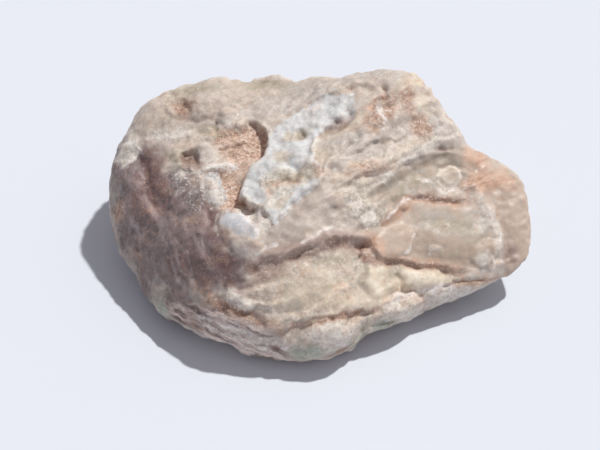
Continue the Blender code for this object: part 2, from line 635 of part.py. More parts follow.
def block_mesh():
    """The rough block inside its outline, as an even net of small faces."""
    ball = bmesh.new()
    bmesh.ops.create_icosphere(ball, subdivisions=BALL_SUBDIVISIONS, radius=1.0)
    mesh = bpy.data.meshes.new(NAME)
    ball.to_mesh(mesh)
    ball.free()
    directions = vectors_of(mesh)
    points = rough_block(directions)
    points += directions * layered_noise(points, 9.0, 3, 11)[:, None] * 0.45
    set_places(mesh, fit_outline(points))
    block = bpy.data.objects.new("block", mesh)
    bpy.context.scene.collection.objects.link(block)
    net = block.modifiers.new("Even net", "REMESH")
    net.mode = "VOXEL"
    net.voxel_size = NET_SIZE
    even = evaluated_copy(block)
    bpy.data.objects.remove(block, do_unlink=True)
    return even


def finish_of_opal():
    """Cream common opal, faintly waxy."""
    finish = bpy.data.materials.new("common opal")
    finish.use_nodes = True
    shader = finish.node_tree.nodes["Principled BSDF"]
    shader.inputs["Base Color"].default_value = (0.60, 0.48, 0.40, 1.0)
    shader.inputs["Roughness"].default_value = 0.55
    shader.inputs["Metallic"].default_value = 0.0
    return finish


def ground_cutter(collection):
    """A block under the ground, which cuts the flat that the stone rests on."""
    bpy.ops.mesh.primitive_cube_add(size=2.0 * LENGTH, location=(0.0, 0.0, -LENGTH))
    cutter = bpy.context.object
    cutter.name = "ground cutter"
    cutter.hide_render = True
    cutter.display_type = "WIRE"
    for holder in list(cutter.users_collection):
        holder.objects.unlink(cutter)
    collection.objects.link(cutter)
    return cutter


def main():
    for old in list(bpy.data.objects):
        bpy.data.objects.remove(old, do_unlink=True)
    parts = bpy.data.collections.new("opalized wood")
    cutters = bpy.data.collections.new("cutters")
    bpy.context.scene.collection.children.link(parts)
    bpy.context.scene.collection.children.link(cutters)

    mesh = block_mesh()
    points = carve(vectors_of(mesh), triangles_of(mesh)) - DRAWN_MIDDLE
    set_places(mesh, points * (LENGTH / DRAWN_LENGTH))
    mesh.materials.append(finish_of_opal())
    stone = bpy.data.objects.new(NAME, mesh)
    parts.objects.link(stone)

    thin_out = stone.modifiers.new("Thin out", "DECIMATE")
    thin_out.ratio = TRIANGLES / len(mesh.loop_triangles)
    rest = stone.modifiers.new("Resting face", "BOOLEAN")
    rest.operation = "DIFFERENCE"
    rest.solver = "EXACT"
    rest.object = ground_cutter(cutters)


main()
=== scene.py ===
"""The looks of the opalized wood: its fine surface, colours, floor, light and camera.

The shape is drawn here again exactly as the CAD source draws it, on a finer net and with a
finer grain on top. Then each point is told what it is made of: how far it lies inside each
coloured patch, how deep in a hollow, and where it lies along the wood's fibres. The material
turns those into colour, gloss and fine relief.

Shapes are in millimetres at DRAWN_LENGTH and scaled to the frame at the end.
"""

import itertools
import math

import bmesh
import bpy
import numpy as np
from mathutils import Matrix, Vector


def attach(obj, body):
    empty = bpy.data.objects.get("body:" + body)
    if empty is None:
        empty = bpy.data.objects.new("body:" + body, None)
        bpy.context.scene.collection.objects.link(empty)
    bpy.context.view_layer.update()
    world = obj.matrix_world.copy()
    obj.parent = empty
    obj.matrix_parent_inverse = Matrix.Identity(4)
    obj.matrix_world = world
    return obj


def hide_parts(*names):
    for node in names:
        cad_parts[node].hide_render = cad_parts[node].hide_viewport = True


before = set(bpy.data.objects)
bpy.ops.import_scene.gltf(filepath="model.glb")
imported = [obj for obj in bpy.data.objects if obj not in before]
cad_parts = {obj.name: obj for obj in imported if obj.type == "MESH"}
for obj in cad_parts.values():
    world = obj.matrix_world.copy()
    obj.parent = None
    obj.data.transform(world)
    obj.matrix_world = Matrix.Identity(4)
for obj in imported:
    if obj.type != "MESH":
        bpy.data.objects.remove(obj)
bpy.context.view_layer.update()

# ---- driving dimensions ----

LENGTH = 0.040  # metres, along X

DRAWN_LENGTH = 40.88  # millimetres along X, as everything below is drawn
DRAWN_MIDDLE = np.array((-0.22, 0.80, 0.0))  # millimetres, the middle of the stone's box
NET_SIZE = 0.187  # millimetres between the points that are carved

NAME = "opalized_wood_surface"

# ---- the two sheets ----

EYE_DISTANCE = 134.0  # millimetres from the heart of the stone to the viewer
FRONT_RISE = math.radians(42)
BACK_RISE = math.radians(30)
HEART = np.array((0.0, 0.0, 7.6))  # millimetres, the point that both sheets are held to
BALL_CENTRE = np.array((0.0, 0.4, 6.4))
BALL_SUBDIVISIONS = 6

# ---- broad fracture faces: name, heading and rise of the outward normal, distance ----

FACES = (
    ("top", 206, 74, 4.9),
    ("top right", 305, 53, 4.9),
    ("top left shoulder", 150, 51, 12.1),
    ("front upper", 270, 50, 5.9),
    ("front lower", 262, 5, 12.6),
    ("front below", 265, -35, 13.4),
    ("front left", 248, 22, 12.3),
    ("left flank", 212, 26, 11.5),
    ("left end", 175, 16, 18.9),
    ("left corner", 200, 8, 18.2),
    ("left below", 205, -38, 15.2),
    ("right front", 300, 8, 10.5),
    ("right below", 305, -40, 11.9),
    ("right end", 0, 5, 19.4),
    ("right end below", 5, -38, 15.2),
    ("right back", 40, 35, 15.2),
    ("back", 92, 5, 13.6),
    ("back left", 135, 18, 20.6),
    ("back below", 90, -42, 11.3),
    ("back left below", 145, -35, 16.6),
    ("under left", 190, -75, 9.0),
    ("under right", 350, -76, 8.9),
    ("under front", 265, -74, 9.2),
    ("under back", 100, -72, 9.4),
    ("underside", 0, -90, 8.4),
)
EDGE_SHARPNESS = 18.0

# ---- directions of the fossil wood ----

GRAIN_HEADING = 41  # the way the fibres run on the top
LAYER_LEAN = 43  # how far the layers' normal leans from straight up
LAYER = 1.7  # millimetres from one broken layer to the next

# ---- outline on the front sheet ----

OUTLINE = (
    (-18.9, 7.1), (-19.6, 4.7), (-19.9, 2.8), (-19.9, 0.3), (-19.5, -1.6), (-18.9, -3.9),
    (-17.5, -5.6), (-16.4, -7.8), (-15.0, -9.5), (-12.6, -10.7), (-10.8, -11.6),
    (-8.2, -12.2), (-7.3, -13.0), (-4.5, -13.7), (-1.9, -13.9), (0.7, -13.4),
    (2.8, -12.8), (4.3, -11.5), (6.6, -10.6), (9.4, -9.4), (12.3, -8.3), (15.1, -7.1),
    (17.3, -6.0), (18.8, -5.2), (19.5, -3.9), (20.1, -1.4), (19.7, 1.4), (19.0, 3.4),
    (17.8, 4.5), (16.1, 5.4), (14.0, 6.4), (13.5, 7.6), (12.3, 9.2), (11.3, 10.4),
    (10.4, 11.9), (9.2, 13.1), (8.2, 13.6), (6.0, 13.7), (3.8, 13.4), (1.7, 13.0),
    (-0.8, 13.0), (-2.2, 12.5), (-4.2, 12.7), (-5.8, 12.4), (-7.8, 12.5), (-9.6, 12.7),
    (-11.3, 12.3), (-13.8, 11.9), (-15.4, 11.3), (-16.6, 10.3), (-17.5, 8.8),
)

# ---- ledges on the front sheet ----
# The high side is on the left of each path. After the path: width of the wall, lip above
# it and drop below it, how far the two reach, and how long it takes to start and to end.

LEDGES = (
    ("long ledge", (
        (-8.0, -5.2), (-6.4, -4.3), (-4.2, -3.7), (-1.9, -3.0), (0.0, -2.3), (2.4, -1.9),
        (4.5, -2.0), (5.3, -2.6),
    ), 1.1, 0.3, 0.7, 2.2, 3.0, 4.5, 1.6),
    ("plate edge", (
        (3.4, -2.0), (4.6, -2.2), (5.1, -3.0), (5.8, -4.0), (7.2, -4.1), (8.7, -4.4),
        (11.3, -4.7), (13.4, -5.0), (15.4, -5.2),
    ), 0.55, 0.15, 0.4, 1.6, 2.4, 1.6, 4.0),
    ("chip edge", (
        (6.6, -4.1), (8.1, -3.6), (8.9, -2.6), (9.2, -1.6), (8.6, -0.6),
    ), 0.15, 0.14, 0.1, 1.6, 0.8, 0.8, 0.8),
    ("hollow wall", (
        (-7.2, 9.1), (-6.2, 8.8), (-5.3, 8.0), (-4.9, 7.0), (-5.1, 6.1), (-5.8, 5.4),
        (-6.7, 4.4), (-7.5, 3.1), (-7.6, 1.8), (-7.0, 1.0), (-5.6, 0.6),
    ), 0.2, 0.2, 0.75, 1.0, 2.2, 1.6, 0.8),
    ("fin step", (
        (17.3, -5.4), (17.3, -4.2), (17.1, -2.2), (16.2, 0.3), (15.0, 2.4), (14.0, 4.2),
        (13.2, 5.6),
    ), 0.7, 0.1, 0.55, 1.5, 1.6, 1.0, 2.5),
    ("lower lump", (
        (10.2, -8.3), (8.9, -7.5), (7.2, -7.4), (5.9, -8.3),
    ), 0.15, 0.2, 0.6, 0.9, 1.0, 0.8, 0.8),
    ("foot of the front", (
        (-5.8, -11.2), (-2.6, -10.5), (-0.5, -10.0), (1.9, -9.6), (4.0, -9.1), (5.6, -9.6),
    ), 0.25, 0.1, 0.3, 1.2, 1.6, 1.5, 1.2),
    ("top band", (
        (-3.6, 9.6), (-1.0, 10.8), (2.0, 11.9), (4.8, 12.6), (7.0, 13.2),
    ), 0.4, 0.15, 0.15, 1.2, 1.6, 2.5, 3.0),
    ("rust band", (
        (0.4, 4.4), (2.2, 5.6), (4.6, 6.8), (7.2, 7.4), (10.0, 8.2),
    ), 0.4, 0.2, 0.2, 1.4, 1.4, 1.0, 3.5),
    ("curl band", (
        (1.4, 2.6), (3.8, 3.9), (6.2, 4.4), (9.0, 5.4), (11.6, 6.6),
    ), 0.4, 0.15, 0.25, 1.0, 1.2, 1.5, 3.5),
)

# ---- cracks on the front sheet: path, depth, half width, taper at each end ----

CRACKS = (
    ("plate crack", (
        (7.6, 1.1), (8.4, 1.5), (9.6, 1.6), (11.3, 1.5), (12.5, 1.2), (13.8, 0.9),
    ), 0.26, 0.24, 1.0),
    ("beside the curl", ((5.9, -1.0), (6.8, -0.2), (8.0, 0.4)), 0.2, 0.16, 0.5),
    ("front crack", (
        (-3.0, -10.5), (-0.5, -9.9), (1.9, -9.5), (4.0, -9.1), (5.6, -9.6),
    ), 0.25, 0.16, 1.0),
    ("under the plate", (
        (11.3, -7.3), (12.3, -6.7), (13.4, -6.2), (15.8, -6.0),
    ), 0.25, 0.18, 0.6),
    ("top crack", ((4.0, 7.4), (2.4, 6.4), (1.5, 5.4), (0.8, 4.6), (0.7, 3.3)), 0.25, 0.16, 0.5),
    ("rust crack", (
        (5.3, 12.3), (6.1, 11.9), (6.3, 11.1), (5.4, 10.6), (4.5, 10.1),
    ), 0.4, 0.2, 0.6),
    ("beside the crust", ((3.2, 10.0), (1.6, 8.6), (0.5, 7.7), (-0.4, 6.8)), 0.5, 0.5, 0.8),
    ("red groove", ((-10.4, -7.6), (-8.1, -8.9), (-6.6, -9.4), (-5.0, -10.7)), 0.15, 0.3, 0.8),
    ("channel", ((3.8, 1.5), (7.4, 3.0), (10.4, 4.7), (13.2, 5.9)), 0.65, 0.95, 1.5),
    ("left corner", ((-9.7, 9.0), (-10.0, 8.3), (-9.7, 7.5)), 0.4, 0.22, 0.5),
    ("flank hollow", ((-16.7, 6.2), (-16.8, 4.1), (-16.1, 1.9), (-15.0, -0.4)), 0.6, 0.8, 1.5),
    ("flank groove", ((-11.0, 1.2), (-10.4, -0.6), (-10.9, -2.8), (-9.9, -5.0)), 0.12, 0.35, 1.2),
    ("crust groove", ((-3.6, 5.4), (-2.2, 4.2), (-2.5, 3.0), (-4.0, 3.2)), 0.35, 0.35, 0.6),
    ("left of the yellow lumps", ((3.8, -3.4), (4.2, -5.0), (4.0, -7.2)), 0.3, 0.3, 0.7),
    ("round the nodule", (
        (13.5, 3.7), (13.1, 4.7), (12.2, 5.0), (11.3, 4.6), (10.9, 3.7), (11.3, 2.8),
        (12.2, 2.5), (13.1, 2.8), (13.5, 3.7),
    ), 0.1, 0.16, 0.1),
    ("between the yellow lumps", ((7.2, -5.4), (7.9, -6.4), (7.8, -7.4)), 0.3, 0.18, 0.4),
)

# ---- hollows on the front sheet: outline, depth, width of the wall ----

HOLLOWS = (
    ("rust hollow", (
        (-10.4, 6.9), (-9.2, 7.7), (-8.0, 8.0), (-6.6, 8.7), (-5.2, 7.6), (-5.1, 6.3),
        (-6.1, 5.4), (-8.0, 5.2), (-9.6, 5.5),
    ), 0.4, 1.0),
    ("lower rust hollow", (
        (-10.2, 3.6), (-8.3, 4.2), (-7.4, 3.3), (-7.5, 2.0), (-7.0, 0.8), (-8.6, 0.8),
        (-9.2, 1.7),
    ), 0.25, 0.8),
    ("knob hollow", (
        (-13.1, 5.8), (-12.3, 6.1), (-11.6, 5.6), (-11.7, 4.9), (-12.4, 4.6), (-13.0, 5.0),
    ), 0.8, 0.5),
    ("small hollow", ((-13.1, 4.3), (-12.3, 4.5), (-12.0, 3.9), (-12.8, 3.7)), 0.25, 0.3),
    ("far hollow", (
        (-13.7, 10.1), (-12.9, 10.7), (-12.0, 10.3), (-12.2, 9.4), (-13.2, 9.2),
    ), 0.5, 0.9),
    ("dark hollow", ((-6.9, -4.7), (-6.1, -4.5), (-5.8, -5.2), (-6.5, -5.6)), 0.12, 0.6),
    ("crust hollow", ((-2.4, 7.8), (-1.7, 8.1), (-1.4, 7.4), (-2.1, 7.0)), 0.4, 0.3),
)

# ---- lumps on the front sheet ----
# Middle, half length, half width, turn, height, and roundness: small for a button with
# steep sides, 1 for a dome.

LUMPS = (
    ("nodule", (12.2, 3.7), 1.05, 0.95, 20, 0.22, 0.4),
    ("glossy nose", (-7.6, -1.7), 3.0, 1.9, -50, 0.6, 1.2),
    ("grey lump", (-12.7, 2.4), 2.5, 1.5, 75, 0.6, 0.8),
    ("white lump", (-10.0, 2.4), 1.6, 0.9, 100, 0.5, 0.7),
    ("white lip", (-9.9, 4.5), 1.6, 0.45, 12, 0.4, 0.8),
    ("lip of the hollow", (-8.2, 9.0), 1.4, 1.0, -10, 0.45, 0.7),
    ("knob beside the hollow", (-13.4, 5.6), 0.8, 0.7, 0, 0.3, 0.7),
    ("far lump", (-10.5, 11.0), 4.6, 2.0, 8, 0.9, 0.9),
    ("far left lump", (-15.6, 9.4), 2.4, 1.8, 30, 0.6, 0.9),
    ("sparkle", (-8.1, -7.6), 1.2, 0.8, -10, 0.35, 0.6),
    ("sparkle below", (-6.9, -8.4), 0.9, 0.6, 10, 0.3, 0.6),
    ("lower right lump", (7.9, -9.0), 2.3, 1.2, 15, 0.5, 0.8),
    ("foot lump", (1.0, -11.4), 3.2, 1.6, 10, 0.5, 0.8),
    ("curl", (2.2, 1.6), 1.4, 0.8, 40, 0.35, 0.6),
    ("second curl", (3.6, 0.6), 1.3, 0.7, 30, 0.35, 0.6),
    ("third curl", (4.6, -0.6), 1.1, 0.6, 20, 0.3, 0.6),
    ("curled strip", (7.3, 0.4), 1.9, 0.5, 42, 0.4, 0.6),
    ("chip", (7.0, -2.4), 2.0, 1.4, 30, 0.12, 0.5),
    ("plate swelling", (11.6, -2.4), 3.6, 1.8, -8, 0.3, 0.9),
    ("plate fleck", (10.7, -3.3), 0.5, 0.3, 10, 0.15, 0.5),
    ("plate corner", (15.6, -3.6), 1.5, 1.1, 40, 0.35, 0.6),
    ("yellow lump", (5.4, -6.0), 1.9, 1.3, 80, 0.4, 0.8),
    ("second yellow lump", (9.8, -6.0), 2.1, 1.1, 12, 0.4, 0.8),
    ("beige band", (6.2, 5.5), 5.2, 0.9, 27, 0.35, 0.8),
    ("upper band", (7.0, 9.4), 4.6, 1.1, 20, 0.35, 0.8),
    ("peak", (7.6, 12.6), 2.6, 1.4, -25, 0.1, 0.9),
    ("front swelling", (-2.6, -6.6), 4.2, 2.6, 15, 0.5, 0.9),
)

# ---- the crust: a raised, knobbly sheet ----

CRUST = (
    (2.9, 11.4), (2.1, 9.2), (0.9, 8.2), (-0.2, 7.1), (-0.6, 5.7), (0.1, 3.6), (-1.9, 1.7),
    (-3.3, 0.3), (-4.3, -0.7), (-5.6, 0.7), (-7.0, 1.0), (-7.6, 1.9), (-7.3, 3.1),
    (-6.6, 4.4), (-5.5, 5.4), (-4.9, 6.4), (-5.0, 7.6), (-3.6, 8.8), (-1.9, 9.7), (0.5, 10.7),
)
CRUST_HEIGHT = 0.4
CRUST_EDGE = 0.4

# ---- the splinters along the left foot: outline and the way they run ----

SPLINTERS = (
    (-15.4, -8.2), (-8.4, -9.0), (-4.0, -11.8), (-1.4, -14.6), (-9.0, -14.0), (-15.6, -11.2),
)
SPLINTER_TURN = -24
SPLINTER_HEIGHT = 0.22

# ---- marks that run all over the stone: how high they stand, in millimetres ----

LAYER_HEIGHT = 0.42
FIBRE_HEIGHT = 0.12
KNOB_HEIGHT = 0.15
GRAIN_HEIGHT = 0.12
PIT_DEPTH = 0.12
CRUST_KNOB_HEIGHT = 0.22
FINE_GRAIN_HEIGHT = 0.07
FINE_CRUMB_HEIGHT = 0.06

# ---- marks on the back sheet, written as on the front sheet ----

BACK_LEDGES = (
    ("long step", (
        (-13.0, -6.6), (-9.6, -5.6), (-6.2, -5.8), (-3.0, -4.8), (0.6, -4.2), (4.4, -4.6),
        (8.2, -3.6),
    ), 0.2, 0.35, 0.95, 1.8, 3.2, 2.0, 3.0),
    ("low step", (
        (-4.0, -10.4), (-0.8, -9.6), (3.0, -9.9), (7.4, -9.0), (11.6, -8.9),
    ), 0.6, 0.3, 0.8, 1.4, 2.4, 2.0, 2.0),
    ("corner step", (
        (9.6, -2.2), (11.6, -3.4), (12.6, -5.6), (12.2, -7.6),
    ), 0.3, 0.3, 0.7, 1.4, 2.6, 1.2, 1.2),
    ("end chip", (
        (-15.8, -9.2), (-13.4, -8.4), (-12.4, -6.2), (-12.9, -4.0),
    ), 0.3, 0.2, 0.7, 1.2, 2.4, 1.2, 1.2),
)
BACK_CRACKS = (
    ("long crack", ((-8.8, -2.4), (-6.0, -1.7), (-3.4, -2.1), (-0.6, -1.2)), 0.3, 0.22, 1.2),
    ("short crack", ((3.4, -7.0), (5.2, -6.2), (7.6, -6.5)), 0.5, 0.2, 0.8),
    ("slanting crack", ((-6.4, -9.2), (-5.2, -7.6), (-4.9, -6.2)), 0.5, 0.25, 0.6),
)
BACK_HOLLOWS = (
    ("back hollow", (
        (-2.2, -7.6), (-0.8, -6.6), (1.0, -6.9), (1.4, -8.2), (-0.4, -8.8), (-1.9, -8.5),
    ), 0.8, 0.9),
    ("side hollow", ((9.0, -5.2), (10.2, -4.6), (10.9, -5.6), (9.8, -6.5)), 0.6, 0.6),
    ("small back hollow", ((-10.8, -8.6), (-9.9, -8.2), (-9.4, -9.0), (-10.4, -9.4)), 0.5, 0.5),
)
BACK_LUMPS = (
    ("shoulder", (5.6, -1.8), 3.4, 1.7, 12, 0.6, 0.8),
    ("belly", (-6.6, -7.8), 3.0, 1.8, 5, 0.5, 0.8),
    ("toe", (4.2, -11.6), 3.6, 1.4, 4, 0.5, 0.8),
    ("knob", (11.2, -10.0), 1.9, 1.3, 30, 0.45, 0.8),
    ("end knob", (-14.6, -5.8), 1.6, 1.1, 60, 0.4, 0.8),
)

# ---- the two smooth places on the front sheet ----

PLATE = (
    (4.7, -2.2), (5.7, -0.7), (6.8, 0.5), (9.0, 1.3), (11.3, 1.3), (13.8, 0.9), (16.0, -0.8),
    (16.6, -2.8), (16.4, -4.8), (13.4, -4.9), (8.7, -4.3), (5.8, -3.9), (5.1, -3.0),
)
FIN = (
    (13.8, 6.5), (14.9, 6.0), (16.2, 5.3), (17.6, 4.5), (19.1, 3.4), (19.8, 1.4), (20.6, -1.2),
    (20.4, -2.9), (19.8, -4.8), (18.5, -6.2), (17.3, -6.3), (17.6, -4.4), (17.4, -2.4),
    (16.6, 0.1), (15.6, 1.8), (14.3, 3.1), (13.5, 4.4),
)

# ---- where the colours lie, on the front sheet ----
# Each field of colour is made of outlines, of strokes (path, half width) or of ovals (middle,
# half length, half width, turn). JOINED ovals widen a region, drawn in by their first number.

REGIONS = {
    "plate": PLATE, "fin": FIN, "splinters": SPLINTERS, "crust floor": CRUST,
    "white crust": (
        (3.0, 11.3), (3.2, 10.2), (2.7, 9.1), (1.6, 8.4), (0.5, 7.9), (-0.6, 7.1), (-1.0, 6.0),
        (-0.2, 5.2), (0.3, 4.1), (-0.8, 2.5), (-1.9, 1.4), (-3.0, 0.3), (-4.2, -0.9), (-4.9, 0.1),
        (-3.8, 0.8), (-2.6, 1.8), (-1.6, 2.9), (-1.9, 4.1), (-3.2, 4.4), (-4.7, 4.2), (-5.5, 3.5),
        (-5.5, 2.5), (-4.9, 1.8), (-5.5, 1.0), (-6.6, 1.1), (-7.3, 2.2), (-7.1, 3.5), (-6.3, 4.7),
        (-5.1, 5.6), (-5.0, 6.8), (-4.5, 7.6), (-3.7, 8.5), (-2.7, 9.2), (-1.6, 10.0),
        (-0.5, 10.8), (0.8, 11.3),
    ),
    "channel": (
        (4.2, 1.8), (4.9, 2.7), (6.2, 3.5), (7.4, 4.2), (8.9, 5.4), (10.8, 6.3), (12.5, 6.5),
        (13.8, 6.1), (14.2, 4.6), (13.2, 2.9), (11.3, 2.7), (9.4, 2.2), (7.5, 1.6), (6.2, 0.8),
        (5.1, 1.0),
    ),
    # painted shade: the flank's own brown-violet, painted darker as the shade on the side turned
    # away from the lamp
    "flank brown and shade": (
        (-16.0, 6.1), (-14.5, 4.4), (-11.2, 2.2), (-9.6, 0.6), (-9.5, -1.2), (-8.5, -2.7),
        (-7.0, -4.4), (-7.5, -6.6), (-10.0, -7.3), (-11.7, -8.6), (-13.2, -10.8), (-16.0, -11.0),
        (-20.0, -8.0), (-22.0, -2.4), (-22.0, 3.3), (-19.6, 6.1), (-18.3, 7.3), (-17.0, 7.1),
    ),
    "front side": (
        (-5.5, -4.4), (-1.9, -3.5), (2.4, -2.4), (4.5, -2.4), (5.8, -4.2), (8.7, -4.8),
        (14.2, -5.4), (12.3, -7.3), (10.4, -8.0), (6.8, -10.5), (4.7, -11.4), (1.9, -12.4),
        (-1.9, -12.7), (-3.6, -11.4), (-4.9, -10.1), (-6.4, -8.6), (-7.3, -7.6), (-6.6, -6.1),
    ),
    "plateau": (
        (-5.5, -1.6), (-4.2, -0.7), (-1.9, 1.4), (-0.2, 3.1), (1.3, 3.5), (2.3, 1.8), (3.0, 0.1),
        (4.3, -1.2), (4.0, -2.0), (1.9, -2.0), (-0.8, -2.7), (-3.2, -3.7), (-5.5, -3.5),
    ),
    "shoulder": (
        (-16.0, 10.8), (-13.6, 12.4), (-11.3, 13.4), (-7.9, 13.5), (-4.2, 13.7), (-1.9, 12.5),
        (-3.8, 11.4), (-6.0, 10.5), (-8.9, 9.7), (-10.9, 8.4), (-13.6, 7.8), (-16.0, 7.6),
        (-17.7, 8.2),
    ),
    # the pale facet of the nose: partly its own bluish white, partly a painted highlight
    "glossy": (
        (-9.4, -0.2), (-8.7, 0.2), (-7.5, 0.1), (-6.8, -0.4), (-5.9, -1.1), (-5.8, -2.1),
        (-6.9, -2.2), (-7.9, -1.7), (-8.7, -1.4), (-9.4, -1.0),
    ),
    "grey knob": (
        (-14.2, 4.2), (-13.0, 4.8), (-11.7, 4.2), (-10.9, 2.7), (-10.9, 0.8), (-11.7, 0.1),
        (-12.8, 0.8), (-13.8, 2.2), (-14.4, 3.3),
    ),
    "pale band": (
        (0.9, 3.7), (2.5, 4.8), (4.9, 5.2), (7.5, 5.9), (9.8, 7.1), (11.3, 7.5), (10.4, 5.9),
        (8.5, 5.0), (7.2, 4.1), (4.9, 2.9), (3.4, 2.4), (1.9, 2.4),
    ),
    "curls": (
        (1.5, 3.5), (3.0, 4.1), (4.3, 2.5), (5.8, 1.0), (6.8, 0.3), (6.0, -1.0), (4.3, -1.8),
        (2.8, -0.7), (1.9, 1.0), (1.3, 2.4),
    ),
    # painted shade: mauve-brown where the walls under the ledges lie in shade
    "painted wall shade": (
        (-5.0, -3.3), (-3.1, -2.6), (-0.6, -2.1), (1.3, -1.5), (4.4, -1.8), (4.7, -3.3),
        (4.1, -3.5), (1.9, -3.3), (-0.6, -3.8), (-3.1, -4.8), (-5.7, -5.9), (-6.5, -5.0),
    ),
}
STROKES = {
    "pale strokes": (
        (((8.9, -1.8), (8.4, -3.1), (7.6, -3.8)), 0.12),
        (((-1.6, -2.5), (-0.7, -2.1), (0.3, -1.5), (1.5, -1.1)), 0.16),
        (((-6.0, -3.7), (-5.2, -3.0), (-4.1, -2.8)), 0.18),
        (((-11.9, -9.5), (-9.0, -10.5), (-6.0, -11.5), (-3.2, -12.6)), 0.14),
        (((-12.4, -10.0), (-8.0, -11.5), (-3.8, -13.2)), 0.12),
        (((-12.7, -10.5), (-9.9, -11.8), (-7.1, -12.7)), 0.12),
        (((-8.4, -10.7), (-6.0, -11.7), (-3.7, -12.2)), 0.35),
        (((-10.6, -9.4), (-7.6, -10.2), (-4.8, -11.3)), 0.1),
        (((15.7, -3.4), (16.3, -4.0), (16.4, -4.8)), 0.12),
        (((7.2, -7.7), (9.6, -7.2), (12.4, -6.9)), 0.3),
        (((5.6, 10.8), (5.8, 9.6), (6.1, 8.5)), 0.28),
        (((9.4, 3.6), (10.0, 3.1), (10.7, 2.9)), 0.08),
        (((11.2, 2.6), (11.9, 2.2), (12.8, 2.4)), 0.12),
        (((-10.8, 4.4), (-9.8, 4.9), (-8.6, 4.9)), 0.2),
        (((6.4, -0.2), (7.5, 0.9), (8.7, 1.6)), 0.14),
        # painted highlight along the right edge of the nose's facet
        (((-7.2, 0.0), (-6.3, -0.8), (-5.9, -1.9)), 0.22),
        (((-9.7, 0.1), (-9.9, -0.8), (-9.6, -1.6)), 0.12),
    ),
    # rust-brown along cracks, partly painted shade; the strokes under the plate's edge and at its
    # left end are painted shade
    "rust and shade strokes": (
        (((7.6, 1.1), (8.4, 1.5), (9.6, 1.6), (11.3, 1.5), (12.5, 1.2), (13.8, 0.9)), 0.34),
        (((4.8, -2.6), (5.8, -4.3), (7.2, -4.4), (8.7, -4.7), (11.3, -5.0), (13.4, -5.3)), 0.42),
        (((-2.6, -10.5), (0.5, -9.9), (2.8, -9.3), (4.9, -9.1)), 0.22),
        (((11.4, -7.3), (12.4, -6.7), (13.6, -6.3), (15.8, -6.1)), 0.2),
        (((4.5, 10.1), (5.6, 10.6), (6.4, 11.2)), 0.22),
        (((1.2, -6.4), (2.0, -7.2), (2.9, -8.2)), 0.1),
        (((1.9, -6.3), (2.5, -7.0), (3.4, -7.8)), 0.08),
        (((-10.6, -7.6), (-8.6, -8.9), (-7.0, -9.4), (-5.6, -10.4)), 0.22),
        (((6.0, -8.3), (7.2, -7.6), (8.8, -7.6), (9.9, -8.2)), 0.18),
        (((4.6, -2.0), (4.1, -3.0), (4.3, -3.8)), 0.35),
    ),
    "ring": (
        ((
            (13.3, 3.9), (13.0, 4.5), (12.3, 4.8), (11.5, 4.5), (11.1, 3.8), (11.2, 3.1),
            (11.8, 2.7), (12.6, 2.7), (13.1, 3.2), (13.3, 3.9),
        ), 0.13),
    ),
}
